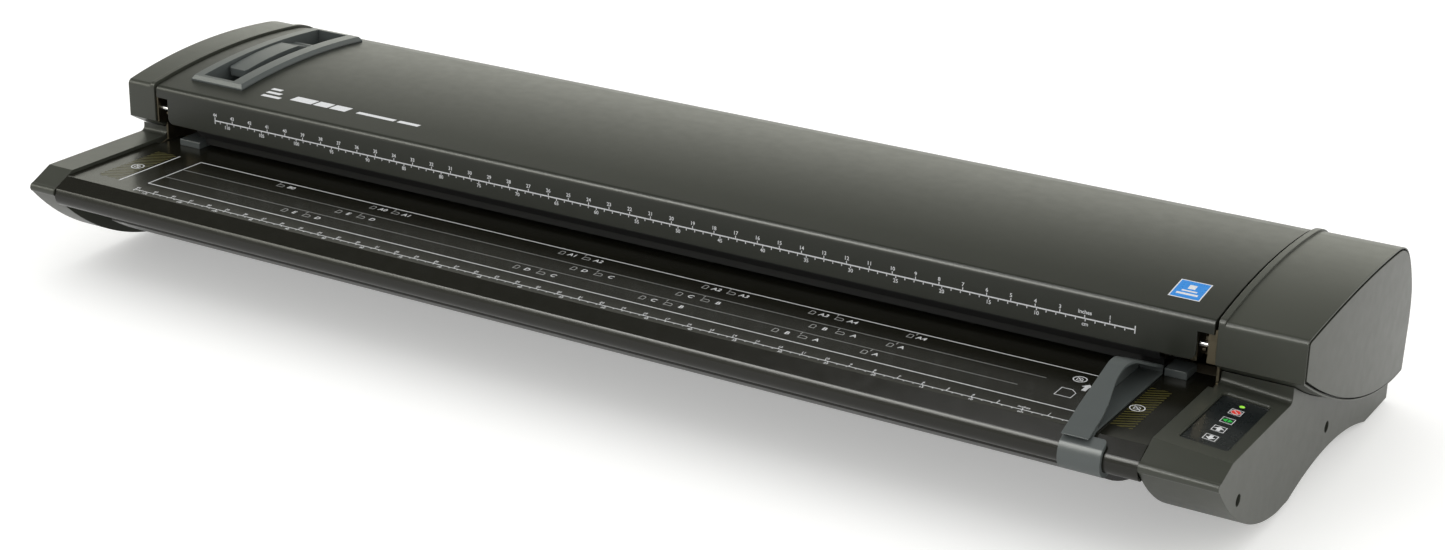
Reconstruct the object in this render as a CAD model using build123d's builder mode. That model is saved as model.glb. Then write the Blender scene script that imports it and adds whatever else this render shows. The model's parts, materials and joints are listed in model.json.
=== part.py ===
"""Wide-format sheet-feed scanner, 44 inch: hinged lid, feed bed, side pods and paper guide.

Frame: +X to the right seen from the front, +Y to the rear, +Z up, millimetres.
The origin is the centre of the footprint, on the table the rubber feet stand on.
"""
from build123d import *
from math import atan2, cos, pi, radians, sin, sqrt
import os

os.makedirs("parts", exist_ok=True)

# ---------------------------------------------------------------- driving dimensions
NOSE_Y = -253.5             # front edge of the bed nose and of both lower pods
REAR_Y = 253.5              # rear face of the lower pods
BED_Z = 118.0               # the flat that the paper runs over
BED_LEFT = -670.0
BED_RIGHT = 616.0
BED_REAR = -52.0            # the front table ends ahead of the front rollers
BROW_R = 3.0                # rounding of the crease along the nose of the bed
POD_BROW_R = 5.0            # the same on the lower pods
SHEET = 2.5                 # bed, table and lid skin
WALL = 3.0                  # moulded pod walls
GAP = 0.5                   # plain air gap between neighbouring covers
RUN = 0.05                  # radial running clearance of a shaft in its hole
SNUG = 0.02                 # radial clearance of a part pressed into its seat

LID_LEFT = -663.5
LID_RIGHT = 617.3
FRONT_Y = -88.5             # front face of the lid and of both upper pods
LIP_Z = 145.0               # lower edge of that face
CREASE_Z = 187.0            # crease between the front face and the crown
CREASE_R = 6.0
CROWN_Y = 47.5
CROWN_Z = 202.0             # highest line of the lid
TAIL_Y = 162.0              # where the crown turns down to the rear
TAIL_Z = 198.5
HINGE_Y = 216.5
HINGE_Z = 140.0
HINGE_PIN_R = 6.0
BARREL_R = 16.0             # rolled rear edge of the lid, concentric with its hinge
BARREL_BORE = 12.0
NOTCH_TOP = 174.0           # corner notches at both ends of the lid's front face
NOTCH_WIDTH = 16.0
NOTCH_DEPTH = 34.0

POD_IN_LEFT = -667.0
POD_IN_RIGHT = 621.0
POD_RIM = 711.2             # bulged rim of both upper pods, at its fullest
CAP_OUT = 712.0             # bulged face of both end caps, at its fullest
BULGE_R = 2700.0
RIM_T = 1.4                 # thin rim of a pod round its end cap
REBATE = 3.5                # how deep the end cap sits inside that rim
SEAM = 1.8                  # dark joint between the rim and the end cap
RIDGE_WIDTH = 6.0
RIDGE_RISE = 2.0
RIDGE_FOOT = 152.0          # the ridge runs out at this height, front and rear

DECK_Z = 122.0              # lower pods' deck along the bed
DECK_FALL = 6.0             # how far the right deck falls to its outer edge
LEFT_RAIL_OUT = -705.0
RIGHT_POD_OUT = 691.0
LOBE_Z = 10.5               # flat under the front lobe, where a tall foot sits
HEEL_Z = 3.5                # flat under the heel, where a low foot sits
FOOT_R = 11.0

PIN_Y = -79.5               # fixed latch pins, seen in the lid's notches
PIN_Z = 159.5
PIN_R = 2.5
LATCH_Y = -57.5             # latch shaft, along the lid
LATCH_Z = 171.0
LATCH_R = 5.0
LATCH_TURN = 28.0
LEVER_TURN = 22.0
CRANK = 10.0                # arm of the latch shaft that the push link works
LEVER_ARM = CRANK * sin(radians(LATCH_TURN)) / sin(radians(LEVER_TURN))
CRANK_PIN_R = 1.5
LEVER_Y = 106.0             # pivot of the release lever
LEVER_Z = 193.0
LEVER_PIN_R = 4.0
LINK_X = -569.0

ROLLER_R = 14.5
ROLLER_SHAFT_R = 6.0
BEARING_R = 11.0
FRONT_ROLLER_Y = -42.0
REAR_ROLLER_Y = 57.0
ROLLER_Z = BED_Z + 0.4 - ROLLER_R
SLEEVE_L = 60.0
SLEEVE_PITCH = 150.0
PRESS_R = 8.0
PRESS_SHAFT_R = 3.0
PRESS_Z = BED_Z + 0.9 + PRESS_R
PRESS_L = 30.0
MOTOR_Y = 8.0
MOTOR_Z = 60.0
MOTOR_SIDE = 42.0
MOTOR_L = 45.0
BELT_T = 1.5
BELT_X = 627.0
BELT_W = 10.0
TOOTH_PITCH = 3.0
ROLLER_TEETH = 30
MOTOR_TEETH = 15

PLATE_T = 2.5
PLATE_LIP = 6.0             # the right side plate's front edge, folded inwards in the lid's notch
LEFT_PLATE = -666.5         # left face of the left side plate
RIGHT_PLATE = 617.8         # left face of the right side plate
PAN_LEFT = -634.0
PAN_RIGHT = 560.0
PAN_TOP = 84.0
PAN_INSET = 8.0
PAN_T = 2.0

FRAME_LEFT = -642.0         # steel frame inside the lid
FRAME_RIGHT = 596.0
FRAME_Z = 136.0
FRAME_T = 2.0
PATH_LEFT = -608.0          # lid parts that face the paper lie between these two
PATH_RIGHT = 565.0

HANDLE_LEFT = -636.0        # outer edges of the handle's bezel
HANDLE_RIGHT = -561.0
HANDLE_FRONT = -59.0
HANDLE_REAR = 160.5
WELL_LEFT = -622.0          # opening of the handle's well
WELL_RIGHT = -578.0
WELL_FRONT = -52.5
WELL_REAR = 152.5
WELL_DEPTH = 30.0
STEP_Y = -45.0              # ahead of this the well is shallow, to clear the latch shaft
STEP_DEPTH = 9.0
BEZEL_RISE = 6.0

PANEL_X = 655.0             # centre of the control panel's recess
PANEL_Y = -145.0
PANEL_W = 46.0
PANEL_L = 114.0
RECESS = 4.0
RECESS_BEVEL = 1.2          # bevel round the recess's upper edge
OVERLAY_T = 1.0
PAD_T = 9.0                 # thickened deck that carries the panel
BUTTON = 13.0
BUTTON_GAP = 0.3
BUTTON_PITCH = 21.5
STOP_OFFSET = 28.5          # stop button, rearwards from the recess's centre
LED_OFFSET = 44.0
LED_R = 2.6

GUIDE_X = 541.0             # paper side of the guide: the rulers' zero
GUIDE_W = 26.0
CLIP_W = 41.0
CLIP_T = 4.5
CLIP_CORNER_R = 4.0
GUIDE_GAP = 0.3
CLIP_REAR = -241.0          # rear edge of the clip beside the guide's body
GUIDE_REAR = -74.5

GLASS_FRONT = -21.0
GLASS_REAR = 35.0
GLASS_TOP = BED_Z - 0.3
GLASS_T = 4.0


def save(piece, label):
    """Label a finished piece and write it under its node's name."""
    piece.part.label = label
    export_step(piece.part, f"parts/{label}.step")


def bar(x0, x1, y0, y1, z0, z1):
    """A rectangular block between six planes, for adding or cutting."""
    with BuildPart() as block:
        with BuildSketch(Plane.XY.offset(z0)):
            with Locations(((x0 + x1) / 2, (y0 + y1) / 2)):
                Rectangle(x1 - x0, y1 - y0)
        extrude(amount=z1 - z0)
    return block.part


def rod(x0, x1, y, z, r):
    """A round bar along X."""
    with BuildPart() as round_bar:
        with BuildSketch(Plane.YZ.offset(x0)):
            with Locations((y, z)):
                Circle(r)
        extrude(amount=x1 - x0)
    return round_bar.part


def slab(x0, x1, points):
    """A polygon in the YZ plane, extruded between two X planes."""
    with BuildPart() as plate:
        with BuildSketch(Plane.YZ.offset(x0)):
            with BuildLine():
                Polyline(*points, close=True)
            make_face()
        extrude(amount=x1 - x0)
    return plate.part


def drum(radius, x_face):
    """An upright cylinder whose right side reaches x_face, to bulge the pods' outer faces."""
    with BuildPart() as cylinder:
        with BuildSketch(Plane.XY):
            with Locations((x_face - radius, (FRONT_Y + REAR_Y) / 2)):
                Circle(radius)
        extrude(amount=CROWN_Z * 1.5)
    return cylinder.part


def circle_through(p, q, r):
    """Centre and radius of the circle through three points."""
    d = 2 * (p[0] * (q[1] - r[1]) + q[0] * (r[1] - p[1]) + r[0] * (p[1] - q[1]))
    pp, qq, rr = (a[0] ** 2 + a[1] ** 2 for a in (p, q, r))
    cy = (pp * (q[1] - r[1]) + qq * (r[1] - p[1]) + rr * (p[1] - q[1])) / d
    cz = (pp * (r[0] - q[0]) + qq * (p[0] - r[0]) + rr * (q[0] - p[0])) / d
    return cy, cz, sqrt((p[0] - cy) ** 2 + (p[1] - cz) ** 2)


crown_cy, crown_cz, crown_r = circle_through(
    (FRONT_Y, CREASE_Z), (CROWN_Y, CROWN_Z), (TAIL_Y, TAIL_Z)
)


def crown_z(y, rise=0.0):
    """Height of the lid's crown at y, or of a curve parallel to it."""
    return crown_cz + sqrt((crown_r + rise) ** 2 - (y - crown_cy) ** 2)


# ---------------------------------------------------------------- sections in the YZ plane
def round_crease(section, corner, radius):
    """Round the corner of a sketch that lies nearest to the given point."""
    fillet(section.vertices().sort_by_distance(corner)[0], radius)


def lid_block(x0, x1, inset, floor_z):
    """The lid's section as a solid, from its crown down to a flat floor."""
    front = FRONT_Y + inset
    lean = radians(18)
    end = (
        HINGE_Y + (BARREL_R - inset) * cos(lean),
        HINGE_Z + (BARREL_R - inset) * sin(lean),
    )
    with BuildPart() as block:
        with BuildSketch(Plane.YZ.offset(x0)) as section:
            with BuildLine():
                Line((front, floor_z), (front, crown_z(front, -inset)))
                crown = ThreePointArc(
                    (front, crown_z(front, -inset)),
                    (CROWN_Y, crown_z(CROWN_Y, -inset)),
                    (TAIL_Y, crown_z(TAIL_Y, -inset)),
                )
                Spline(
                    crown @ 1,
                    (206.5 - 0.7 * inset, 180.0 - 0.7 * inset),
                    end,
                    tangents=(crown % 1, (sin(lean), -cos(lean))),
                )
                Line(end, (end[0], floor_z))
                Line((end[0], floor_z), (front, floor_z))
            make_face()
            round_crease(section, (front, crown_z(front, -inset)), CREASE_R - inset)
        extrude(amount=x1 - x0)
    return block.part


def pod_block(x0, x1, inset, rise=0.0):
    """The upper pod's lens-shaped section between two X planes."""
    front = FRONT_Y + inset
    out = rise - inset
    lift = 0.5 + out
    rear_top = (245.5 + out, 96.0)
    rear_low = (239.5 + out, 43.5 + inset)
    lip = (front, LIP_Z + inset)
    with BuildPart() as block:
        with BuildSketch(Plane.YZ.offset(x0)) as section:
            with BuildLine():
                Line(lip, (front, crown_z(front, lift)))
                crown = ThreePointArc(
                    (front, crown_z(front, lift)),
                    (CROWN_Y, crown_z(CROWN_Y, lift)),
                    (TAIL_Y, crown_z(TAIL_Y, lift)),
                )
                Spline(
                    crown @ 1,
                    (208.0 + 0.7 * out, 180.0 + 0.7 * out),
                    (234.5 + out, 145.0),
                    rear_top,
                    tangents=(crown % 1, (0, -1)),
                )
                Line(rear_top, rear_low)
                ThreePointArc(rear_low, (50.5, 80.0 + inset), lip)
            make_face()
            round_crease(section, (front, crown_z(front, lift)), CREASE_R - inset)
        extrude(amount=x1 - x0)
    return block.part


def lower_block(x0, x1, inset, fall=0.0):
    """The lower pod's side outline; its deck falls by the given amount from x0 to x1."""
    with BuildPart() as block:
        for x, drop in ((x0, 0.0), (x1, fall)):
            deck_rear = (-74.0, DECK_Z - inset - drop)
            deck_front = (-222.0, DECK_Z - inset - drop)
            brow = (-248.5 + inset, 109.0 - inset / 2 - drop / 3)
            chin = (NOSE_Y + inset + 3, 99.0)
            lobe = (-80.0, LOBE_Z + inset)
            lobe_end = (-50.0, LOBE_Z + inset)
            heel = (181.0, HEEL_Z + inset)
            heel_end = (REAR_Y - inset, HEEL_Z + inset)
            shoulder = (REAR_Y - inset, 41.0 - inset)
            cove_top = (-68.0 + inset, 132.0 - 1.6 * inset)
            cove_low = (-68.0 + inset, 128.0 - drop)
            cove_reach = (6 + inset) * cos(radians(45))
            cove_mid = (-74.0 + cove_reach, 128.0 - drop - cove_reach)
            with BuildSketch(Plane.YZ.offset(x)) as section:
                with BuildLine():
                    Line(deck_rear, deck_front)
                    Line(deck_front, brow)
                    ThreePointArc(brow, (NOSE_Y + inset, 104.5), chin)
                    ThreePointArc(chin, (-186.5 + inset * 0.7, 45.0 + inset * 0.7), lobe)
                    Line(lobe, lobe_end)
                    ThreePointArc(lobe_end, (49.5, 24.0 + inset), heel)
                    Line(heel, heel_end)
                    Line(heel_end, shoulder)
                    ThreePointArc(shoulder, (50.5, 79.3 - inset), cove_top)
                    Line(cove_top, cove_low)
                    ThreePointArc(cove_low, cove_mid, deck_rear)
                make_face()
                round_crease(section, brow, POD_BROW_R)
        loft(ruled=True)
    return block.part


def nose_block(x0, x1, grow, rear=BED_REAR):
    """The bed's section: flat top, nose facet, round front edge and return underneath."""
    under = 86.5 - grow
    top = BED_Z + grow
    with BuildPart() as block:
        with BuildSketch(Plane.YZ.offset(x0)) as section:
            with BuildLine():
                brow = (-249.0 - grow * 0.7, 108.3 + grow * 0.8)
                chin = (-240.0 - grow / 2, under)
                Line((rear, top), (-231.5, top))
                Line((-231.5, top), brow)
                ThreePointArc(brow, (NOSE_Y - grow + 1.5, 100.0), chin)
                Line(chin, (-205.0, under))
                Line((-205.0, under), (-205.0, 110.0))
                Line((-205.0, 110.0), (rear, 110.0))
                Line((rear, 110.0), (rear, top))
            make_face()
            round_crease(section, brow, BROW_R)
        extrude(amount=x1 - x0)
    return block.part


# ---------------------------------------------------------------- feed bed and tables
bed_skin = nose_block(BED_LEFT + GAP, BED_RIGHT - GAP, 0.0)
bed_core = nose_block(BED_LEFT, BED_RIGHT, -SHEET)
bed_under = bar(BED_LEFT, BED_RIGHT, -206.0, BED_REAR + 1, 80.0, BED_Z - SHEET)
plate_relief = bar(BED_LEFT, LEFT_PLATE + PLATE_T + GAP, -87.0, BED_REAR + 1, 80.0, BED_Z + 1)
with BuildPart() as bed_plate:
    add(bed_skin)
    add(bed_core, mode=Mode.SUBTRACT)
    add(bed_under, mode=Mode.SUBTRACT)
    add(plate_relief, mode=Mode.SUBTRACT)
save(bed_plate, "bed_plate")

table_front = REAR_ROLLER_Y + 10.0
with BuildPart() as rear_table:
    with BuildSketch(Plane.YZ.offset(LID_LEFT)):
        with BuildLine():
            Line((table_front, BED_Z), (228.0, BED_Z))
            ThreePointArc((228.0, BED_Z), (235.1, 115.1), (238.0, 108.0))
            Line((238.0, 108.0), (235.5, 108.0))
            ThreePointArc((235.5, 108.0), (233.3, 113.3), (228.0, BED_Z - SHEET))
            Line((228.0, BED_Z - SHEET), (table_front, BED_Z - SHEET))
            Line((table_front, BED_Z - SHEET), (table_front, BED_Z))
        make_face()
    extrude(amount=LID_RIGHT - LID_LEFT)
save(rear_table, "rear_table")

with BuildPart() as scan_glass:
    add(bar(-600, 565, GLASS_FRONT, GLASS_REAR, GLASS_TOP - GLASS_T, GLASS_TOP))
    chamfer(scan_glass.edges().filter_by(Axis.X).group_by(Axis.Z)[-1], 0.4)
save(scan_glass, "scan_glass")

with BuildPart() as bed_blocks:
    add(bar(-641, -612, -78, -50, BED_Z, BED_Z + 7.5))
    add(bar(569, 591, -76.5, -50, BED_Z, BED_Z + 7.5))
    fillet(bed_blocks.edges().group_by(Axis.Y)[0].filter_by(Axis.X).group_by(Axis.Z)[-1], 1.2)
save(bed_blocks, "bed_blocks")

# ---------------------------------------------------------------- chassis
pan_outer = lower_block(PAN_LEFT, PAN_RIGHT, PAN_INSET)
pan_inner = lower_block(PAN_LEFT + PAN_T, PAN_RIGHT - PAN_T, PAN_INSET + PAN_T)
with BuildPart() as base_pan:
    add(pan_outer)
    add(pan_inner, mode=Mode.SUBTRACT)
    add(bar(PAN_LEFT - 1, PAN_RIGHT + 1, -260, 260, PAN_TOP, 150), mode=Mode.SUBTRACT)
    add(bar(PAN_LEFT - 1, PAN_RIGHT + 1, -260, -203, 0, 150), mode=Mode.SUBTRACT)
    add(bar(PAN_LEFT - 1, PAN_RIGHT + 1, 232, 260, 0, 150), mode=Mode.SUBTRACT)
    add(bar(PAN_LEFT - 1, PAN_RIGHT + 1, -40, 260, 50, 150), mode=Mode.SUBTRACT)
    add(bar(PAN_LEFT, PAN_RIGHT, -203, -201, 66, PAN_TOP))
save(base_pan, "base_pan")

PLATE_FRONT = -86.0
plate_outline = [
    (PLATE_FRONT, 24), (PLATE_FRONT, 116), (-72, 120), (-72, 140), (PLATE_FRONT, LIP_Z - 1),
    (PLATE_FRONT, 178), (-40, 187), (47, 194), (150, 190),
    (204, 170), (230, 150), (235, 125), (235, 24),
]
lip_left = RIGHT_PLATE - PLATE_LIP
with BuildPart() as side_plates:
    for plate_x in (LEFT_PLATE, RIGHT_PLATE):
        with BuildSketch(Plane.YZ.offset(plate_x)):
            with BuildLine():
                Polyline(*plate_outline, close=True)
            make_face()
            with Locations((FRONT_ROLLER_Y, ROLLER_Z), (REAR_ROLLER_Y, ROLLER_Z)):
                Circle(BEARING_R + SNUG, mode=Mode.SUBTRACT)
            with Locations((HINGE_Y, HINGE_Z)):
                Circle(HINGE_PIN_R + SNUG, mode=Mode.SUBTRACT)
            with Locations((PIN_Y, PIN_Z)):
                Circle(PIN_R + SNUG, mode=Mode.SUBTRACT)
        extrude(amount=PLATE_T)
    with BuildSketch(Plane.YZ.offset(RIGHT_PLATE)):
        with Locations((MOTOR_Y, MOTOR_Z)):
            Circle(BEARING_R)
    extrude(amount=PLATE_T, mode=Mode.SUBTRACT)
    add(bar(lip_left, RIGHT_PLATE, PLATE_FRONT, PLATE_FRONT + 2.0, LIP_Z - 1, NOTCH_TOP - 1))
save(side_plates, "side_plates")

rail_left = LEFT_PLATE + PLATE_T
with BuildPart() as cross_rails:
    for rail_y in (-84.0, 102.0):
        add(bar(rail_left, RIGHT_PLATE, rail_y, rail_y + 20, PAN_TOP, BED_Z - SHEET))
        add(
            bar(rail_left, RIGHT_PLATE, rail_y + 2, rail_y + 18, PAN_TOP + 2, BED_Z - SHEET - 2),
            mode=Mode.SUBTRACT,
        )
save(cross_rails, "cross_rails")

with BuildPart() as sensor_tray:
    add(bar(rail_left, RIGHT_PLATE, GLASS_FRONT, GLASS_REAR, PAN_TOP, GLASS_TOP - GLASS_T))
    add(
        bar(rail_left, RIGHT_PLATE, GLASS_FRONT + 2, GLASS_REAR - 2, PAN_TOP + 2, BED_Z),
        mode=Mode.SUBTRACT,
    )
save(sensor_tray, "sensor_tray")

SENSOR_L = 250.0
with BuildPart() as image_sensors:
    for i in range(5):
        start = -597.0 + i * 228.0
        row_y = -17.5 if i % 2 == 0 else 10.0
        with BuildSketch(Plane.XY.offset(PAN_TOP + 2)):
            with Locations((start + SENSOR_L / 2, row_y + 11.0)):
                Rectangle(SENSOR_L, 22.0)
        extrude(amount=22.0)
        with BuildSketch(Plane.XY.offset(PAN_TOP + 24)):
            with Locations((start + SENSOR_L / 2, row_y + 11.0)):
                Rectangle(SENSOR_L - 6, 8.0)
        extrude(amount=3.0)
save(image_sensors, "image_sensors")

SOCKET_LEFT = 455.0
SOCKET_RIGHT = 575.0
with BuildPart() as rear_cover:
    add(bar(LID_LEFT, LID_RIGHT, 236, 238.5, 14, 107.5))
    add(bar(SOCKET_LEFT, SOCKET_RIGHT, 230, 240, 38, 72), mode=Mode.SUBTRACT)
    with BuildSketch(Plane.XZ.offset(-238.5)):
        with Locations((-80, 60)):
            with GridLocations(16, 12, 24, 3):
                SlotOverall(10, 3, rotation=90)
    extrude(amount=4, both=True, mode=Mode.SUBTRACT)
save(rear_cover, "rear_cover")

# ---------------------------------------------------------------- lower pods
right_outer = lower_block(BED_RIGHT, RIGHT_POD_OUT, 0.0, DECK_FALL)
right_inner = lower_block(BED_RIGHT + WALL, RIGHT_POD_OUT - WALL, WALL, DECK_FALL * 0.92)
tilt = atan2(DECK_FALL, RIGHT_POD_OUT - BED_RIGHT)
panel_plane = Plane(
    origin=(PANEL_X, PANEL_Y, DECK_Z - (PANEL_X - BED_RIGHT) * DECK_FALL / (RIGHT_POD_OUT - BED_RIGHT)),
    x_dir=(cos(tilt), 0, -sin(tilt)),
    z_dir=(sin(tilt), 0, cos(tilt)),
)
SCREW_SPOTS = ((-198.0, 71.0), (49.5, 48.0))
BOSS_L = 20.0
BOSS_R = 9.0
SCREW_SEAT = 5.0
plate_side_cut = bar(BED_RIGHT - 1, POD_IN_RIGHT, -87, REAR_Y + 5, 0, 200)
belt_cut = bar(POD_IN_RIGHT - 6, BELT_X + BELT_W + 5, -64, 80, 45, 124)
with BuildPart() as right_lower_pod:
    add(right_outer)
    add(right_inner, mode=Mode.SUBTRACT)
    add(plate_side_cut, mode=Mode.SUBTRACT)
    add(belt_cut, mode=Mode.SUBTRACT)
    with BuildSketch(panel_plane.offset(-PAD_T)):
        Rectangle(PANEL_W + 8, PANEL_L + 8)
    extrude(amount=PAD_T - 1)
    with BuildSketch(panel_plane.offset(-RECESS)) as recess:
        Rectangle(PANEL_W, PANEL_L)
        fillet(recess.vertices(), 4)
    extrude(amount=RECESS + 4, mode=Mode.SUBTRACT)
    with BuildSketch(panel_plane.offset(-RECESS_BEVEL)) as recess_rim:
        Rectangle(PANEL_W, PANEL_L)
        fillet(recess_rim.vertices(), 4)
    extrude(amount=2 * RECESS_BEVEL, taper=-45, mode=Mode.SUBTRACT)
    with BuildSketch(panel_plane.offset(-PAD_T - 1)):
        Rectangle(PANEL_W - 8, PANEL_L - 8)
    extrude(amount=PAD_T, mode=Mode.SUBTRACT)
    with BuildSketch(Plane.YZ.offset(RIGHT_POD_OUT - BOSS_L)):
        with Locations(*SCREW_SPOTS):
            Circle(BOSS_R)
    extrude(amount=BOSS_L - 1)
    with BuildSketch(Plane.YZ.offset(RIGHT_POD_OUT - BOSS_L + SCREW_SEAT)):
        with Locations(*SCREW_SPOTS):
            Circle(6.0)
    extrude(amount=BOSS_L, mode=Mode.SUBTRACT)
    with BuildSketch(Plane.YZ.offset(RIGHT_POD_OUT - BOSS_L - 1)):
        with Locations(*SCREW_SPOTS):
            Circle(2.6)
    extrude(amount=BOSS_L, mode=Mode.SUBTRACT)
save(right_lower_pod, "right_lower_pod")

left_outer = lower_block(LEFT_RAIL_OUT, BED_LEFT, 0.0)
left_inner = lower_block(LEFT_RAIL_OUT + WALL, BED_LEFT - WALL, WALL)
with BuildPart() as left_lower_pod:
    add(left_outer)
    add(left_inner, mode=Mode.SUBTRACT)
    with BuildSketch(Plane.YZ.offset(LEFT_RAIL_OUT + 1)):
        with Locations(*SCREW_SPOTS):
            Circle(BOSS_R)
    extrude(amount=BOSS_L - 1)
    with BuildSketch(Plane.YZ.offset(LEFT_RAIL_OUT - 1)):
        with Locations(*SCREW_SPOTS):
            Circle(6.0)
    extrude(amount=BOSS_L - SCREW_SEAT + 1, mode=Mode.SUBTRACT)
    with BuildSketch(Plane.YZ.offset(LEFT_RAIL_OUT)):
        with Locations(*SCREW_SPOTS):
            Circle(2.6)
    extrude(amount=BOSS_L + 1, mode=Mode.SUBTRACT)
save(left_lower_pod, "left_lower_pod")

SCREW_SEATS = (
    (RIGHT_POD_OUT - BOSS_L + SCREW_SEAT, 1),
    (LEFT_RAIL_OUT + BOSS_L - SCREW_SEAT, -1),
)
with BuildPart() as side_screws:
    for seat_x, outward in SCREW_SEATS:
        with BuildSketch(Plane.YZ.offset(seat_x)):
            with Locations(*SCREW_SPOTS):
                Circle(5.0)
        extrude(amount=outward * 3.5)
        with BuildSketch(Plane.YZ.offset(seat_x)):
            with Locations(*SCREW_SPOTS):
                Circle(2.5)
        extrude(amount=-outward * 12.0)
        with BuildSketch(Plane.YZ.offset(seat_x + outward * 2.0)):
            with Locations(*SCREW_SPOTS):
                RegularPolygon(2.2, 6)
        extrude(amount=outward * 3.0, mode=Mode.SUBTRACT)
save(side_screws, "side_screws")

FOOT_SPOTS = (
    (655.0, -65.0, LOBE_Z), (-687.0, -65.0, LOBE_Z),
    (655.0, 215.0, HEEL_Z), (-687.0, 215.0, HEEL_Z),
)
with BuildPart() as rubber_feet:
    for foot_x, foot_y, foot_h in FOOT_SPOTS:
        with BuildSketch(Plane.XY):
            with Locations((foot_x, foot_y)):
                Circle(FOOT_R)
        extrude(amount=foot_h)
    chamfer(rubber_feet.edges().filter_by(GeomType.CIRCLE).group_by(Axis.Z)[0], 1.0)
save(rubber_feet, "rubber_feet")

# ---------------------------------------------------------------- upper pods and end caps
rim_drum = drum(BULGE_R, POD_RIM)
rebate_drum = drum(BULGE_R, POD_RIM - REBATE)
CAP_PLAY = 0.1               # air between an end cap and the floor of its rebate
PLUG_DEPTH = 4.0
cap_back_drum = drum(BULGE_R, POD_RIM - REBATE + CAP_PLAY)
cap_drum = drum(BULGE_R, CAP_OUT)
plug_drum = drum(BULGE_R, POD_RIM - REBATE - PLUG_DEPTH)


def upper_pod(inner_x):
    """Upper pod on the right-hand side, open outwards, with its raised inner ridge."""
    outer = pod_block(inner_x, CAP_OUT + 5, 0.0)
    hollow = pod_block(inner_x + WALL, CAP_OUT + 6, WALL)
    with BuildPart() as ridge:
        add(pod_block(inner_x, inner_x + RIDGE_WIDTH, 0.0, RIDGE_RISE))
        below_ridge = bar(inner_x - 1, inner_x + RIDGE_WIDTH + 1, FRONT_Y - 1, REAR_Y, 0, RIDGE_FOOT)
        add(below_ridge, mode=Mode.SUBTRACT)
    with BuildPart() as rebate:
        add(pod_block(POD_RIM - 40, CAP_OUT + 6, RIM_T))
        add(rebate_drum, mode=Mode.SUBTRACT)
    with BuildPart() as shell:
        add(outer)
        add(ridge.part)
        add(hollow, mode=Mode.SUBTRACT)
        add(rebate.part, mode=Mode.SUBTRACT)
        add(rim_drum, mode=Mode.INTERSECT)
    return shell.part


def end_cap():
    """End cap on the right-hand side: a bulged face plate and the plug that locates it."""
    with BuildPart() as plate:
        add(pod_block(POD_RIM - 40, CAP_OUT + 5, RIM_T + SEAM))
        add(cap_drum, mode=Mode.INTERSECT)
        add(cap_back_drum, mode=Mode.SUBTRACT)
    with BuildPart() as plug:
        add(pod_block(POD_RIM - 40, CAP_OUT + 5, WALL + GAP))
        add(cap_back_drum, mode=Mode.INTERSECT)
        add(plug_drum, mode=Mode.SUBTRACT)
    return plate.part + plug.part


right_shell = upper_pod(POD_IN_RIGHT)
left_shell = mirror(upper_pod(-POD_IN_LEFT), about=Plane.YZ)
cap = end_cap()

with BuildPart() as right_upper_pod:
    add(right_shell)
    add(belt_cut, mode=Mode.SUBTRACT)
save(right_upper_pod, "right_upper_pod")

with BuildPart() as left_upper_pod:
    add(left_shell)
save(left_upper_pod, "left_upper_pod")

with BuildPart() as right_end_cap:
    add(cap)
save(right_end_cap, "right_end_cap")

with BuildPart() as left_end_cap:
    add(mirror(cap, about=Plane.YZ))
save(left_end_cap, "left_end_cap")

# ---------------------------------------------------------------- lid
TUB_WALL = 2.5
LIP_CORNER_R = 7.0
tub_hole = bar(
    WELL_LEFT - TUB_WALL - GAP, WELL_RIGHT + TUB_WALL + GAP,
    WELL_FRONT - TUB_WALL - GAP, WELL_REAR + TUB_WALL + GAP, 180, 210,
)
with BuildPart() as lid_shell:
    add(lid_block(LID_LEFT, LID_RIGHT, 0.0, 130.0))
    add(lid_block(LID_LEFT + SHEET, LID_RIGHT - SHEET, SHEET, 120.0), mode=Mode.SUBTRACT)
    add(bar(LID_LEFT - 1, LID_RIGHT + 1, -100, 190, 100, LIP_Z), mode=Mode.SUBTRACT)
    add(bar(LID_LEFT - 1, LID_RIGHT + 1, 190, 240, 100, HINGE_Z), mode=Mode.SUBTRACT)
    add(rod(LID_LEFT, LID_RIGHT, HINGE_Y, HINGE_Z, BARREL_R))
    add(rod(LID_LEFT - 1, LID_RIGHT + 1, HINGE_Y, HINGE_Z, BARREL_BORE), mode=Mode.SUBTRACT)
    for notch_x in (LID_LEFT - 1, LID_RIGHT - NOTCH_WIDTH):
        add(
            bar(notch_x, notch_x + NOTCH_WIDTH + 1, FRONT_Y - 1, FRONT_Y + NOTCH_DEPTH, 140, NOTCH_TOP),
            mode=Mode.SUBTRACT,
        )
    for corner_x in (LID_LEFT + NOTCH_WIDTH, LID_RIGHT - NOTCH_WIDTH):
        across = lid_shell.edges().filter_by(Axis.Y)
        fillet(across.sort_by_distance((corner_x, FRONT_Y + SHEET / 2, LIP_Z))[0], LIP_CORNER_R)
    add(tub_hole, mode=Mode.SUBTRACT)
save(lid_shell, "lid_shell")

BUSH_L = 20.0
PIN_STICK = 17.0
with BuildPart() as hinge_bushes:
    for bush_x in (LID_LEFT + 1, LID_RIGHT - 1 - BUSH_L):
        with BuildSketch(Plane.YZ.offset(bush_x)):
            with Locations((HINGE_Y, HINGE_Z)):
                Circle(BARREL_BORE - SNUG)
                Circle(HINGE_PIN_R + RUN, mode=Mode.SUBTRACT)
        extrude(amount=BUSH_L)
save(hinge_bushes, "hinge_bushes")

with BuildPart() as hinge_pins:
    add(rod(LEFT_PLATE, LID_LEFT + PIN_STICK, HINGE_Y, HINGE_Z, HINGE_PIN_R))
    add(rod(LID_RIGHT - PIN_STICK, RIGHT_PLATE + PLATE_T, HINGE_Y, HINGE_Z, HINGE_PIN_R))
    chamfer(hinge_pins.edges().filter_by(GeomType.CIRCLE), 0.6)
save(hinge_pins, "hinge_pins")

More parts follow.
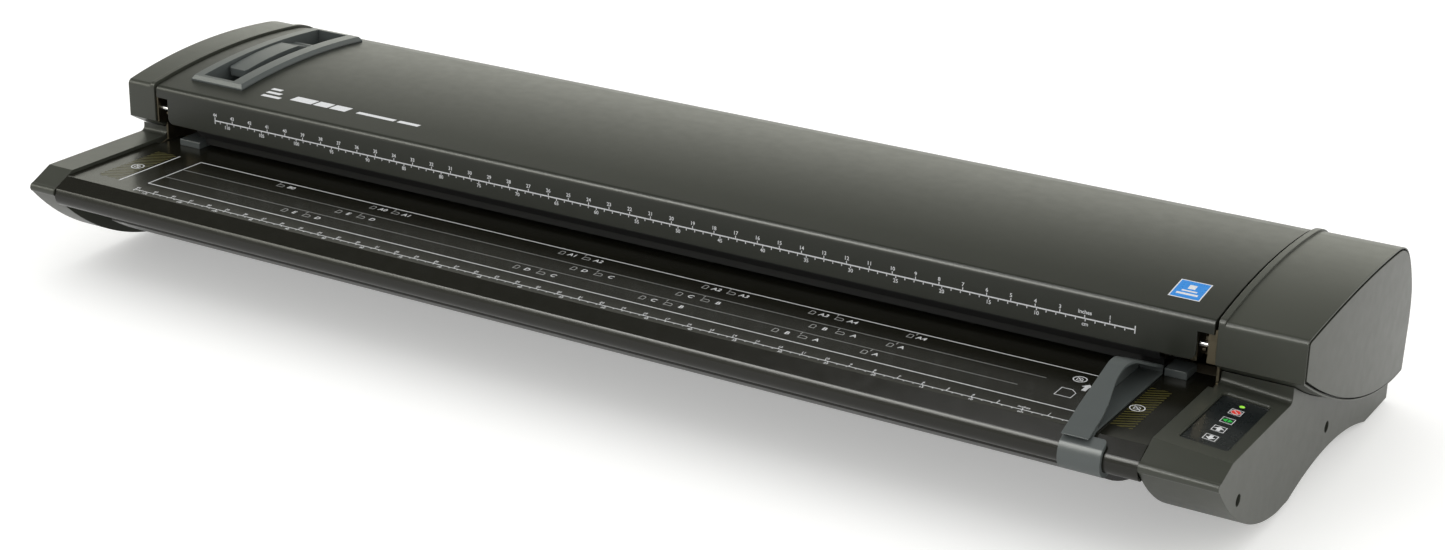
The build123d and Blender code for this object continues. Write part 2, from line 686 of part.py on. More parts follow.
with BuildPart() as latch_pins:
    add(rod(LEFT_PLATE, LID_LEFT + NOTCH_WIDTH - GAP, PIN_Y, PIN_Z, PIN_R))
    add(rod(LID_RIGHT - NOTCH_WIDTH + GAP, RIGHT_PLATE + PLATE_T, PIN_Y, PIN_Z, PIN_R))
    chamfer(latch_pins.edges().filter_by(GeomType.CIRCLE), 0.4)
save(latch_pins, "latch_pins")

LUGS = (-598.0, -297.0, 3.0, 303.0, 555.0)
SHIELD_Y = -47.0
frame_end = [
    (-68, FRAME_Z), (-68, 183), (-40, 185), (47, 192), (140, 188), (180, 176), (196, 160), (196, FRAME_Z),
]
with BuildPart() as lid_frame:
    add(bar(FRAME_LEFT, FRAME_RIGHT, -68, 196, FRAME_Z, FRAME_Z + FRAME_T))
    add(bar(FRAME_LEFT, FRAME_RIGHT, -68, -66, FRAME_Z, FRAME_Z + 16))
    add(bar(FRAME_LEFT, FRAME_RIGHT, 194, 196, FRAME_Z, FRAME_Z + 14))
    for end_x in (FRAME_LEFT, FRAME_RIGHT - PLATE_T):
        add(slab(end_x, end_x + PLATE_T, frame_end))
    add(bar(LID_LEFT + SHEET + GAP, FRAME_LEFT, SHIELD_Y, SHIELD_Y + FRAME_T, FRAME_Z, NOTCH_TOP + 2))
    add(bar(FRAME_RIGHT, LID_RIGHT - SHEET - GAP, SHIELD_Y, SHIELD_Y + FRAME_T, FRAME_Z, NOTCH_TOP + 2))
    for lug_x in LUGS:
        for lug_y in (FRONT_ROLLER_Y, REAR_ROLLER_Y):
            add(bar(lug_x, lug_x + 3, lug_y - 6, lug_y + 6, PRESS_Z - 4.6, FRAME_Z))
    with BuildSketch(Plane.YZ.offset(FRAME_LEFT - 1)):
        with Locations((FRONT_ROLLER_Y, PRESS_Z), (REAR_ROLLER_Y, PRESS_Z)):
            Circle(PRESS_SHAFT_R + RUN)
        with Locations((LATCH_Y, LATCH_Z)):
            Circle(LATCH_R + RUN)
    extrude(amount=FRAME_RIGHT - FRAME_LEFT + 2, mode=Mode.SUBTRACT)
save(lid_frame, "lid_frame")

with BuildPart() as lid_front_rail:
    add(
        slab(
            PATH_LEFT, PATH_RIGHT,
            [
                (-85.8, 152), (-85.8, 143), (-80, 134.5), (-71.5, 131), (-69.5, 122.5), (-55, 121.5),
                (-55, 124), (-67.2, 124.9), (-69.2, 133), (-78.4, 136.9), (-83.3, 144), (-83.3, 152),
            ],
        )
    )
save(lid_front_rail, "lid_front_rail")

with BuildPart() as lid_rear_guide:
    add(
        slab(
            LID_LEFT + SHEET + GAP, LID_RIGHT - SHEET - GAP,
            [
                (68, FRAME_Z), (68, 123), (72, 121), (184, 122), (196, 127), (196, FRAME_Z),
                (193.5, FRAME_Z), (193.5, 129), (183, 124.5), (73, 123.5), (70.5, 125), (70.5, FRAME_Z),
            ],
        )
    )
save(lid_rear_guide, "lid_rear_guide")

with BuildPart() as background_plate:
    add(
        slab(
            -590, 554,
            [
                (-20, FRAME_Z), (-20, 122.5), (-18, 121), (32, 121), (34, 122.5), (34, FRAME_Z),
                (32, FRAME_Z), (32, 123), (-18, 123), (-18, FRAME_Z),
            ],
        )
    )
save(background_plate, "background_plate")


# ---------------------------------------------------------------- release handle and latch
def crown_strip(x0, x1, y0, y1, rise, floor):
    """A band of the crown between two y planes, its top and floor parallel to the crown."""
    mid = (y0 + y1) / 2
    with BuildPart() as band:
        with BuildSketch(Plane.YZ.offset(x0)):
            with BuildLine():
                ThreePointArc((y0, crown_z(y0, rise)), (mid, crown_z(mid, rise)), (y1, crown_z(y1, rise)))
                Line((y1, crown_z(y1, rise)), (y1, crown_z(y1, floor)))
                ThreePointArc(
                    (y1, crown_z(y1, floor)), (mid, crown_z(mid, floor)), (y0, crown_z(y0, floor))
                )
                Line((y0, crown_z(y0, floor)), (y0, crown_z(y0, rise)))
            make_face()
        extrude(amount=x1 - x0)
    return band.part


bezel_band = crown_strip(HANDLE_LEFT, HANDLE_RIGHT, HANDLE_FRONT, HANDLE_REAR, BEZEL_RISE, 0.05)
tub_band = crown_strip(
    WELL_LEFT - TUB_WALL, WELL_RIGHT + TUB_WALL, STEP_Y - TUB_WALL, WELL_REAR + TUB_WALL,
    BEZEL_RISE / 2, -WELL_DEPTH - TUB_WALL,
)
step_band = crown_strip(
    WELL_LEFT - TUB_WALL, WELL_RIGHT + TUB_WALL, WELL_FRONT - TUB_WALL, STEP_Y,
    BEZEL_RISE / 2, -STEP_DEPTH - TUB_WALL,
)
well_band = crown_strip(WELL_LEFT, WELL_RIGHT, STEP_Y, WELL_REAR, BEZEL_RISE + 5, -WELL_DEPTH)
shallow_band = crown_strip(WELL_LEFT, WELL_RIGHT, WELL_FRONT, STEP_Y + 1, BEZEL_RISE + 5, -STEP_DEPTH)
with BuildPart() as handle_bezel:
    add(bezel_band)
    top_edges = handle_bezel.faces().sort_by(Axis.Z)[-1].edges()
    chamfer(top_edges, 3.0, 4.0)
    add(tub_band)
    add(step_band)
    add(well_band, mode=Mode.SUBTRACT)
    add(shallow_band, mode=Mode.SUBTRACT)
    add(rod(HANDLE_LEFT - 1, HANDLE_RIGHT + 1, LEVER_Y, LEVER_Z, LEVER_PIN_R + RUN), mode=Mode.SUBTRACT)
save(handle_bezel, "handle_bezel")

LEVER_LEFT = -619.0
LEVER_RIGHT = -593.0
pad_front = -14.0
pad_rear = 80.0
pad_mid = (pad_front + pad_rear) / 2
with BuildPart() as release_lever:
    with BuildSketch(Plane.YZ.offset(LEVER_LEFT)):
        with BuildLine():
            ThreePointArc(
                (pad_front, crown_z(pad_front, 1.5)),
                (pad_mid, crown_z(pad_mid, 4.0)),
                (pad_rear, crown_z(pad_rear, 4.5)),
            )
            Line((pad_rear, crown_z(pad_rear, 4.5)), (LEVER_Y - 4, LEVER_Z + 7.5))
            Line((LEVER_Y - 4, LEVER_Z + 7.5), (LEVER_Y - 2, LEVER_Z - 8))
            Line((LEVER_Y - 2, LEVER_Z - 8), (pad_rear, LEVER_Z - 2))
            ThreePointArc(
                (pad_rear, LEVER_Z - 2),
                (pad_mid, crown_z(pad_mid, -7.0)),
                (pad_front, crown_z(pad_front, -7.5)),
            )
            Line((pad_front, crown_z(pad_front, -7.5)), (pad_front, crown_z(pad_front, 1.5)))
        make_face()
    extrude(amount=LEVER_RIGHT - LEVER_LEFT)
    fillet(release_lever.edges().group_by(Axis.Y)[0].filter_by(Axis.Z), 5.0)
    add(rod(LEVER_LEFT, LEVER_RIGHT, LEVER_Y, LEVER_Z, 8.5))
    add(rod(LEVER_LEFT - 1, LEVER_RIGHT + 1, LEVER_Y, LEVER_Z, LEVER_PIN_R + SNUG), mode=Mode.SUBTRACT)
save(release_lever, "release_lever")

crank_x = LINK_X - 4.0
lever_crank_z = LEVER_Z - LEVER_ARM
with BuildPart() as lever_pin:
    add(rod(WELL_LEFT - TUB_WALL - 2, crank_x + 3, LEVER_Y, LEVER_Z, LEVER_PIN_R))
    with BuildSketch(Plane.YZ.offset(crank_x)):
        with BuildLine():
            Polyline(
                (LEVER_Y - 5, LEVER_Z), (LEVER_Y + 5, LEVER_Z),
                (LEVER_Y + 3.5, lever_crank_z), (LEVER_Y - 3.5, lever_crank_z), close=True,
            )
        make_face()
        with Locations((LEVER_Y, LEVER_Z)):
            Circle(6.0)
        with Locations((LEVER_Y, lever_crank_z)):
            Circle(3.5)
    extrude(amount=3.0)
    add(rod(crank_x, LINK_X + 5, LEVER_Y, lever_crank_z, CRANK_PIN_R))
save(lever_pin, "lever_pin")

COILS_LEFT = LEVER_RIGHT + 1.5
with BuildPart() as lever_spring:
    with BuildLine() as coil_path:
        Helix(
            pitch=2.2, height=11.0, radius=6.2,
            center=(COILS_LEFT, LEVER_Y, LEVER_Z), direction=(1, 0, 0),
        )
    with BuildSketch(Plane(origin=coil_path.line @ 0, z_dir=coil_path.line % 0)):
        Circle(0.7)
    sweep(is_frenet=True)
save(lever_spring, "lever_spring")

SLOT_HALF = CRANK_PIN_R + 1.3
with BuildPart() as push_link:
    with BuildSketch(Plane.YZ.offset(LINK_X)):
        with BuildLine():
            front_z = LATCH_Z + CRANK
            Polyline(
                (LATCH_Y - 6, front_z - 4.5), (LATCH_Y - 6, front_z + 4.5), (LATCH_Y + 6, front_z + 4.5),
                (LEVER_Y + 6, lever_crank_z + 4.5), (LEVER_Y + 6, lever_crank_z - 4.5),
                (LEVER_Y - 6, lever_crank_z - 4.5), close=True,
            )
        make_face()
        with Locations((LATCH_Y, front_z), (LEVER_Y, lever_crank_z)):
            Rectangle(2 * (CRANK_PIN_R + 0.15), 2 * SLOT_HALF, mode=Mode.SUBTRACT)
    extrude(amount=2.5)
save(push_link, "push_link")

HOOK_T = 3.0
with BuildPart() as latch_shaft:
    add(rod(FRAME_LEFT - 14, FRAME_RIGHT + 15, LATCH_Y, LATCH_Z, LATCH_R))
    with BuildSketch(Plane.YZ.offset(crank_x)):
        with Locations((LATCH_Y, LATCH_Z)):
            Circle(8.0)
        with Locations((LATCH_Y, LATCH_Z + CRANK / 2)):
            Rectangle(6.0, CRANK)
        with Locations((LATCH_Y, LATCH_Z + CRANK)):
            Circle(3.0)
    extrude(amount=3.0)
    add(rod(crank_x, LINK_X + 5, LATCH_Y, LATCH_Z + CRANK, CRANK_PIN_R))
save(latch_shaft, "latch_shaft")

toe_z = PIN_Z - PIN_R - 0.3
with BuildPart() as latch_hooks:
    for hook_x in (FRAME_LEFT - 12, FRAME_RIGHT + 10):
        with BuildSketch(Plane.YZ.offset(hook_x)):
            with BuildLine():
                Polyline(
                    (-62, 177), (-72, 170), (-76.2, 166), (-76.2, toe_z), (-83.5, toe_z),
                    (-83.5, toe_z - 2), (-81, toe_z - 4.5), (-70, toe_z - 4.5), (-53, 164), close=True,
                )
            make_face()
            with Locations((LATCH_Y, LATCH_Z)):
                Circle(8.0)
                Circle(LATCH_R + SNUG, mode=Mode.SUBTRACT)
        extrude(amount=HOOK_T)
save(latch_hooks, "latch_hooks")

# ---------------------------------------------------------------- paper drive
SLEEVES = [-525.0 + i * SLEEVE_PITCH for i in range(8)]
SHAFT_LEFT = LEFT_PLATE + 0.2
PULLEY_RIGHT = BELT_X + BELT_W + 1.0
roller_pulley_r = ROLLER_TEETH * TOOTH_PITCH / (2 * pi)
motor_pulley_r = MOTOR_TEETH * TOOTH_PITCH / (2 * pi)


def toothed_pulley(y, z, radius, teeth, bore):
    """Timing pulley along X with a flange on either side of its teeth."""
    with BuildPart() as pulley:
        with BuildSketch(Plane.YZ.offset(BELT_X - 1)):
            with Locations((y, z)):
                Circle(radius)
        extrude(amount=BELT_W + 2)
        with BuildSketch(Plane.YZ.offset(BELT_X - 1)):
            with Locations((y, z)):
                with PolarLocations(radius, teeth):
                    Rectangle(1.2, 1.1)
        extrude(amount=BELT_W + 2, mode=Mode.SUBTRACT)
        with BuildSketch(Plane.YZ.offset(BELT_X - 1.5), Plane.YZ.offset(BELT_X + BELT_W + 0.5)):
            with Locations((y, z)):
                Circle(radius + BELT_T + 1.0)
        extrude(amount=1.0)
        if bore:
            with BuildSketch(Plane.YZ.offset(BELT_X - 2)):
                with Locations((y, z)):
                    Circle(bore)
            extrude(amount=BELT_W + 5, mode=Mode.SUBTRACT)
    return pulley.part


def roller_set(y, place):
    """Write a drive roller's shaft, its rubber sleeves and its pulley."""
    with BuildPart() as shaft:
        add(rod(SHAFT_LEFT, PULLEY_RIGHT, y, ROLLER_Z, ROLLER_SHAFT_R))
        chamfer(shaft.edges().filter_by(GeomType.CIRCLE), 0.5)
    save(shaft, f"{place}_roller_shaft")
    with BuildPart() as sleeves:
        for sleeve_x in SLEEVES:
            with BuildSketch(Plane.YZ.offset(sleeve_x - SLEEVE_L / 2)):
                with Locations((y, ROLLER_Z)):
                    Circle(ROLLER_R)
                    Circle(ROLLER_SHAFT_R + SNUG, mode=Mode.SUBTRACT)
            extrude(amount=SLEEVE_L)
        rims = sleeves.edges().filter_by(GeomType.CIRCLE).filter_by(lambda e: e.radius > ROLLER_R - 1)
        chamfer(rims, 0.8)
    save(sleeves, f"{place}_roller_sleeves")
    with BuildPart() as pulley:
        add(toothed_pulley(y, ROLLER_Z, roller_pulley_r, ROLLER_TEETH, ROLLER_SHAFT_R + SNUG))
    save(pulley, f"{place}_roller_pulley")


def press_roller(y, place):
    """Write an idle pressure roller's shaft and its wheels."""
    with BuildPart() as shaft:
        add(rod(LUGS[0] - 4, LUGS[-1] + 7, y, PRESS_Z, PRESS_SHAFT_R))
    save(shaft, f"{place}_pressure_shaft")
    with BuildPart() as wheels:
        for wheel_x in SLEEVES:
            with BuildSketch(Plane.YZ.offset(wheel_x - PRESS_L / 2)):
                with Locations((y, PRESS_Z)):
                    Circle(PRESS_R)
                    Circle(PRESS_SHAFT_R + SNUG, mode=Mode.SUBTRACT)
            extrude(amount=PRESS_L)
    save(wheels, f"{place}_pressure_wheels")


for roller_y, roller_place in ((FRONT_ROLLER_Y, "front"), (REAR_ROLLER_Y, "rear")):
    roller_set(roller_y, roller_place)
    press_roller(roller_y, roller_place)

with BuildPart() as roller_bearings:
    for ring_x in (LEFT_PLATE, RIGHT_PLATE - 1.0):
        with BuildSketch(Plane.YZ.offset(ring_x)):
            with Locations((FRONT_ROLLER_Y, ROLLER_Z), (REAR_ROLLER_Y, ROLLER_Z)):
                Circle(BEARING_R)
                Circle(ROLLER_SHAFT_R + RUN, mode=Mode.SUBTRACT)
        extrude(amount=PLATE_T + 1.0)
save(roller_bearings, "roller_bearings")

MOTOR_SHAFT_R = 2.5
with BuildPart() as feed_motor:
    with BuildSketch(Plane.YZ.offset(RIGHT_PLATE - MOTOR_L)):
        with Locations((MOTOR_Y, MOTOR_Z)):
            RectangleRounded(MOTOR_SIDE, MOTOR_SIDE, 5)
    extrude(amount=MOTOR_L)
    with BuildSketch(Plane.YZ.offset(RIGHT_PLATE)):
        with Locations((MOTOR_Y, MOTOR_Z)):
            Circle(BEARING_R - SNUG)
    extrude(amount=PLATE_T)
    add(
        rod(RIGHT_PLATE - 20, RIGHT_PLATE + PLATE_T + 1, MOTOR_Y, MOTOR_Z, MOTOR_SHAFT_R + RUN),
        mode=Mode.SUBTRACT,
    )
save(feed_motor, "feed_motor")

with BuildPart() as motor_pulley:
    add(toothed_pulley(MOTOR_Y, MOTOR_Z, motor_pulley_r, MOTOR_TEETH, 0))
    add(rod(RIGHT_PLATE - 18, BELT_X, MOTOR_Y, MOTOR_Z, MOTOR_SHAFT_R))
save(motor_pulley, "motor_pulley")

pulley_rims = (
    ((FRONT_ROLLER_Y, ROLLER_Z), roller_pulley_r + 0.1),
    ((REAR_ROLLER_Y, ROLLER_Z), roller_pulley_r + 0.1),
    ((MOTOR_Y, MOTOR_Z), motor_pulley_r + 0.1),
)
with BuildPart() as timing_belt:
    with BuildSketch(Plane.YZ.offset(BELT_X)) as belt_outline:
        for spot, radius in pulley_rims:
            with Locations(spot):
                Circle(radius + BELT_T)
        make_hull()
    extrude(amount=BELT_W)
    with BuildSketch(Plane.YZ.offset(BELT_X)) as belt_inside:
        for spot, radius in pulley_rims:
            with Locations(spot):
                Circle(radius)
        make_hull()
    extrude(amount=BELT_W, mode=Mode.SUBTRACT)
save(timing_belt, "timing_belt")

# ---------------------------------------------------------------- electronics
pan_crest = circle_through(
    (-50.0, LOBE_Z + PAN_INSET + PAN_T), (49.5, 24.0 + PAN_INSET + PAN_T), (181.0, HEEL_Z + PAN_INSET + PAN_T)
)
crest_y = pan_crest[0]
crest_z = pan_crest[1] + pan_crest[2] + 0.02
BOARD_FOOT = 5.0
with BuildPart() as main_board:
    add(bar(200, 420, crest_y - 45, crest_y + 45, crest_z + BOARD_FOOT, crest_z + BOARD_FOOT + 1.6))
    for foot_x in (210, 310, 410):
        add(bar(foot_x - 4, foot_x + 4, crest_y - 4, crest_y + 4, crest_z, crest_z + BOARD_FOOT))
    for chip_x, chip_y, chip_w, chip_l in ((250, -20, 24, 24), (300, 15, 40, 16), (360, -10, 18, 40)):
        add(
            bar(
                chip_x - chip_w / 2, chip_x + chip_w / 2,
                crest_y + chip_y - chip_l / 2, crest_y + chip_y + chip_l / 2,
                crest_z + BOARD_FOOT + 1.6, crest_z + BOARD_FOOT + 5.0,
            )
        )
save(main_board, "main_board")

with BuildPart() as power_supply:
    add(bar(-60, 90, crest_y - 40, crest_y + 40, crest_z, crest_z + 32))
    fillet(power_supply.edges().filter_by(Axis.Z), 3)
save(power_supply, "power_supply")

ribbon_top = PAN_TOP - 0.3
ribbon_low = crest_z + BOARD_FOOT + 2.0
with BuildPart() as ribbon_cable:
    with BuildSketch(Plane.YZ.offset(375)):
        with BuildLine():
            Polyline(
                (-15, ribbon_top), (60, ribbon_top), (60, ribbon_low), (50, ribbon_low),
                (50, ribbon_low + 1), (59, ribbon_low + 1), (59, ribbon_top - 1), (-15, ribbon_top - 1),
                close=True,
            )
        make_face()
    extrude(amount=30)
save(ribbon_cable, "ribbon_cable")

ROCKER_X = 470.0
ROCKER_Z = 55.0
ROCKER_Y = 235.5
with BuildPart() as connector_panel:
    add(bar(SOCKET_LEFT + 0.5, SOCKET_RIGHT - 0.5, 212, 239, 38.5, 71.5))
    add(bar(ROCKER_X - 7.5, ROCKER_X + 7.5, 220, 245, ROCKER_Z - 11, ROCKER_Z + 11), mode=Mode.SUBTRACT)
    add(bar(492, 519, 222, 245, 45, 65), mode=Mode.SUBTRACT)
    add(bar(530, 542, 224, 245, 49, 60), mode=Mode.SUBTRACT)
    add(bar(550, 566, 224, 245, 48, 62), mode=Mode.SUBTRACT)
    for contact_x in (500.0, 505.5, 511.0):
        add(bar(contact_x - 1, contact_x + 1, 221, 236, 52, 57))
    add(
        rod(ROCKER_X - 9.5, ROCKER_X + 9.5, ROCKER_Y - 6, ROCKER_Z, 1.5 + RUN),
        mode=Mode.SUBTRACT,
    )
save(connector_panel, "connector_panel")

with BuildPart() as power_rocker:
    with BuildSketch(Plane.YZ.offset(ROCKER_X - 7)):
        with BuildLine():
            Polyline(
                (ROCKER_Y - 9, ROCKER_Z - 5), (ROCKER_Y - 9, ROCKER_Z + 5), (ROCKER_Y + 1, ROCKER_Z + 9.6),
                (ROCKER_Y + 2.5, ROCKER_Z + 9), (ROCKER_Y + 1, ROCKER_Z), (ROCKER_Y + 2.5, ROCKER_Z - 9),
                (ROCKER_Y + 1, ROCKER_Z - 9.6), close=True,
            )
        make_face()
    extrude(amount=14)
    add(rod(ROCKER_X - 9, ROCKER_X + 9, ROCKER_Y - 6, ROCKER_Z, 1.5))
save(power_rocker, "power_rocker")

# ---------------------------------------------------------------- control panel
BUTTONS = ("stop_button", "copy_button", "forward_button", "back_button")
button_spots = [(0.0, STOP_OFFSET - i * BUTTON_PITCH) for i in range(4)]
overlay_top = -RECESS + OVERLAY_T
with BuildPart() as control_overlay:
    with BuildSketch(panel_plane.offset(-RECESS)) as overlay_outline:
        Rectangle(PANEL_W - 0.6, PANEL_L - 0.6)
        fillet(overlay_outline.vertices(), 3.7)
        with Locations(*button_spots):
            Rectangle(BUTTON + 2 * BUTTON_GAP, BUTTON + 2 * BUTTON_GAP, mode=Mode.SUBTRACT)
        with Locations((0, LED_OFFSET)):
            Circle(LED_R + 0.1, mode=Mode.SUBTRACT)
    extrude(amount=OVERLAY_T)
save(control_overlay, "control_overlay")

with BuildPart() as keypad_board:
    with BuildSketch(panel_plane.offset(-PAD_T - 1.6)):
        Rectangle(PANEL_W, PANEL_L)
    extrude(amount=1.6)
save(keypad_board, "keypad_board")

for spot, button_name in zip(button_spots, BUTTONS):
    with BuildPart() as button:
        with BuildSketch(panel_plane.offset(-PAD_T + 1.0)):
            with Locations(spot):
                Rectangle(BUTTON, BUTTON)
        extrude(amount=PAD_T - 1.0 + overlay_top + 0.3)
        chamfer(button.faces().sort_by(Axis.Z)[-1].edges(), 0.3)
    save(button, button_name)

with BuildPart() as status_light:
    with BuildSketch(panel_plane.offset(-PAD_T)):
        with Locations((0, LED_OFFSET)):
            Circle(LED_R)
    extrude(amount=PAD_T + overlay_top + 0.2)
    fillet(status_light.edges().filter_by(GeomType.CIRCLE).sort_by(Axis.Z)[-1], 0.5)
save(status_light, "status_light")

# ---------------------------------------------------------------- paper guide
guide_floor = BED_Z + GUIDE_GAP
guide_end = GUIDE_X + GUIDE_W
clip_end = GUIDE_X + CLIP_W
clip_outer = nose_block(GUIDE_X, clip_end, GUIDE_GAP + CLIP_T, -229.0)
clip_inner = nose_block(GUIDE_X - 1, clip_end + 1, GUIDE_GAP, -226.0)


def guide_side(inset):
    """The guide's side outline above its floor: a tent with a rounded peak and a short rear end."""
    foot = (-251.0 + inset * 3, guide_floor)
    kink = (-212.5, 132.3 - inset)
    peak_front = (-152.0, 150.4 - inset)
    peak = (-140.0, 151.6 - inset)
    peak_rear = (-127.0, 148.6 - inset)
    rear = GUIDE_REAR - inset
    with BuildPart() as block:
        with BuildSketch(Plane.YZ.offset(GUIDE_X + inset)):
            with BuildLine():
                Polyline(peak_rear, (rear, 127.0 - inset), (rear, guide_floor), foot, kink, peak_front)
                ThreePointArc(peak_front, peak, peak_rear)
            make_face()
        extrude(amount=GUIDE_W)
    return block.part


guide_outer = guide_side(0.0)
guide_hollow = guide_side(2.5)
guide_floor_plate = bar(GUIDE_X, guide_end, -238, GUIDE_REAR, guide_floor, guide_floor + 2)
with BuildPart() as side_scallop:
    with BuildSketch(Plane.XY.offset(guide_floor + 2.0)):
        with BuildLine():
            waist_front = (guide_end + 0.1, -222.0)
            waist_rear = (guide_end + 0.1, -84.0)
            Spline(
                waist_front,
                (guide_end - 4.0, -193.0),
                (guide_end - 9.5, -160.0),
                (guide_end - 3.5, -122.0),
                waist_rear,
            )
            Line(waist_rear, waist_front)
        make_face()
    extrude(amount=60)

with BuildPart() as paper_guide:
    add(guide_outer)
    add(guide_hollow, mode=Mode.SUBTRACT)
    add(side_scallop.part, mode=Mode.SUBTRACT)
    add(guide_floor_plate)
    add(clip_outer)
    add(clip_inner, mode=Mode.SUBTRACT)
    add(bar(GUIDE_X - 1, clip_end + 1, -232, -190, 70, BED_Z - 3), mode=Mode.SUBTRACT)
    add(bar(guide_end, clip_end + 1, CLIP_REAR, -200, 100, 140), mode=Mode.SUBTRACT)
    fillet(paper_guide.edges().sort_by_distance((clip_end, CLIP_REAR, BED_Z))[0], CLIP_CORNER_R)
save(paper_guide, "paper_guide")
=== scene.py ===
"""Looks of the wide-format sheet-feed scanner: materials, printed marks, floor, light and camera.

Metres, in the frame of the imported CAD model: +X right, +Y to the rear, +Z up.
"""

import json
from math import cos, pi, radians, sin

import bmesh
import bpy
from mathutils import Matrix, Vector


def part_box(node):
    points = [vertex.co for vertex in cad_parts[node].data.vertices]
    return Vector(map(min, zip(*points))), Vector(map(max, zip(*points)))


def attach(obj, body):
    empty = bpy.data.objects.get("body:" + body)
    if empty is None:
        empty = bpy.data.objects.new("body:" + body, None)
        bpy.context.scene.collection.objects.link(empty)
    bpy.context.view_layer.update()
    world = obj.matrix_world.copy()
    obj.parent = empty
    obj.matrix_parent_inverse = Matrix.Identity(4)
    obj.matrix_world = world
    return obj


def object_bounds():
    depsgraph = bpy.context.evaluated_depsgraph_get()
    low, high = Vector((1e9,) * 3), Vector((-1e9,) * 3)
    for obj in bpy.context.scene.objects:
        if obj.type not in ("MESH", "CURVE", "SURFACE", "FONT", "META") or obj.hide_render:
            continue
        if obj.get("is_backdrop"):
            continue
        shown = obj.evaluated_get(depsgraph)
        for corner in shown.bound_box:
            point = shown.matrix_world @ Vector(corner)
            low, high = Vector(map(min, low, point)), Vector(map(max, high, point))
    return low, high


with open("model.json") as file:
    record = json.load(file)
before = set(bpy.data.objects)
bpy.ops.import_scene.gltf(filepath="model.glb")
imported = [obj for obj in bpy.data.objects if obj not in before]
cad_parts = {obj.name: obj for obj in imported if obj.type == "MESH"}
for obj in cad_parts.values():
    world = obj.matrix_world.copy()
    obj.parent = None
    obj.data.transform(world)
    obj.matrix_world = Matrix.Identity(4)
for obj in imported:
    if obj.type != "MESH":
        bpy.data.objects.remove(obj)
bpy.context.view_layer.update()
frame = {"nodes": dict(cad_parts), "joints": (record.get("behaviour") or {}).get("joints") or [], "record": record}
NODES = frame["nodes"]
JOINTS = {joint["name"]: joint for joint in frame["joints"]}
SLOT_OF = {part["node"]: part["material_slot"] for part in frame["record"]["subparts"]}
MM = 0.001
SEAM_REACH = 3 * MM  # painted shade darkens gaps narrower than this
PLASTIC_IOR = 1.42


# ---------------------------------------------------------------- material building blocks
class Shader:
    """A node material under construction, with short ways to add and link nodes."""

    def __init__(self, name):
        self.material = bpy.data.materials.new(name)
        self.material.use_nodes = True
        self.tree = self.material.node_tree
        self.tree.nodes.clear()
        self.surface = self.add("ShaderNodeBsdfPrincipled")
        output = self.add("ShaderNodeOutputMaterial")
        self.link(self.surface.outputs["BSDF"], output.inputs["Surface"])
        self.coords = self.add("ShaderNodeTexCoord").outputs["Object"]

    def add(self, kind, **settings):
        node = self.tree.nodes.new(kind)
        for key, value in settings.items():
            setattr(node, key, value)
        return node

    def link(self, source, target):
        self.tree.links.new(source, target)

    def noise(self, scale, detail=3.0, stretch=(1, 1, 1)):
        """Noise in the frame's metres: scale is the number of features in one metre."""
        mapping = self.add("ShaderNodeMapping")
        mapping.inputs["Scale"].default_value = stretch
        texture = self.add("ShaderNodeTexNoise")
        texture.inputs["Scale"].default_value = scale
        texture.inputs["Detail"].default_value = detail
        self.link(self.coords, mapping.inputs["Vector"])
        self.link(mapping.outputs["Vector"], texture.inputs["Vector"])
        return texture.outputs["Fac"]

    def spread(self, factor, low, high, start=0.3, end=0.7):
        """A factor stretched from the start-to-end band to the low-to-high range."""
        ramp = self.add("ShaderNodeMapRange")
        ramp.inputs["From Min"].default_value = start
        ramp.inputs["From Max"].default_value = end
        ramp.inputs["To Min"].default_value = low
        ramp.inputs["To Max"].default_value = high
        self.link(factor, ramp.inputs["Value"])
        return ramp.outputs["Result"]

    def mix(self, factor, first, second):
        """A blend of two colours, each a socket or a plain RGB tuple."""
        node = self.add("ShaderNodeMix", data_type="RGBA")
        self.link(factor, node.inputs["Factor"])
        for value, socket in ((first, node.inputs["A"]), (second, node.inputs["B"])):
            if isinstance(value, tuple):
                socket.default_value = (*value, 1.0)
            else:
                self.link(value, socket)
        return node.outputs["Result"]

    def multiply(self, first, second):
        node = self.add("ShaderNodeMath", operation="MULTIPLY")
        self.link(first, node.inputs[0])
        self.link(second, node.inputs[1])
        return node.outputs["Value"]

    def rounded_normal(self, radius):
        """Normals as if every edge were rounded to the given radius."""
        bevel = self.add("ShaderNodeBevel", samples=4)
        bevel.inputs["Radius"].default_value = radius
        return bevel.outputs["Normal"]

    def edge_mask(self, rounded):
        """High where the rounded normal leaves the true one: along edges and corners."""
        true = self.add("ShaderNodeNewGeometry").outputs["Normal"]
        dot = self.add("ShaderNodeVectorMath", operation="DOT_PRODUCT")
        self.link(rounded, dot.inputs[0])
        self.link(true, dot.inputs[1])
        return self.spread(dot.outputs["Value"], 1.0, 0.0, 0.75, 0.99)

    def open_air(self, distance):
        """1 on open surfaces, falling towards 0 in seams and corners narrower than the distance."""
        occlusion = self.add("ShaderNodeAmbientOcclusion", samples=4)
        occlusion.inputs["Distance"].default_value = distance
        return occlusion.outputs["AO"]

    def bump(self, height, distance, strength, normal=None):
        node = self.add("ShaderNodeBump")
        node.inputs["Distance"].default_value = distance
        node.inputs["Strength"].default_value = strength
        self.link(height, node.inputs["Height"])
        if normal is not None:
            self.link(normal, node.inputs["Normal"])
        return node.outputs["Normal"]

    def set(self, **values):
        for key, value in values.items():
            socket = self.surface.inputs[key.replace("_", " ")]
            if isinstance(value, bpy.types.NodeSocket):
                self.link(value, socket)
            elif isinstance(value, tuple):
                socket.default_value = (*value, 1.0)
            else:
                socket.default_value = value


def shade(colour, factor):
    return tuple(channel * factor for channel in colour)


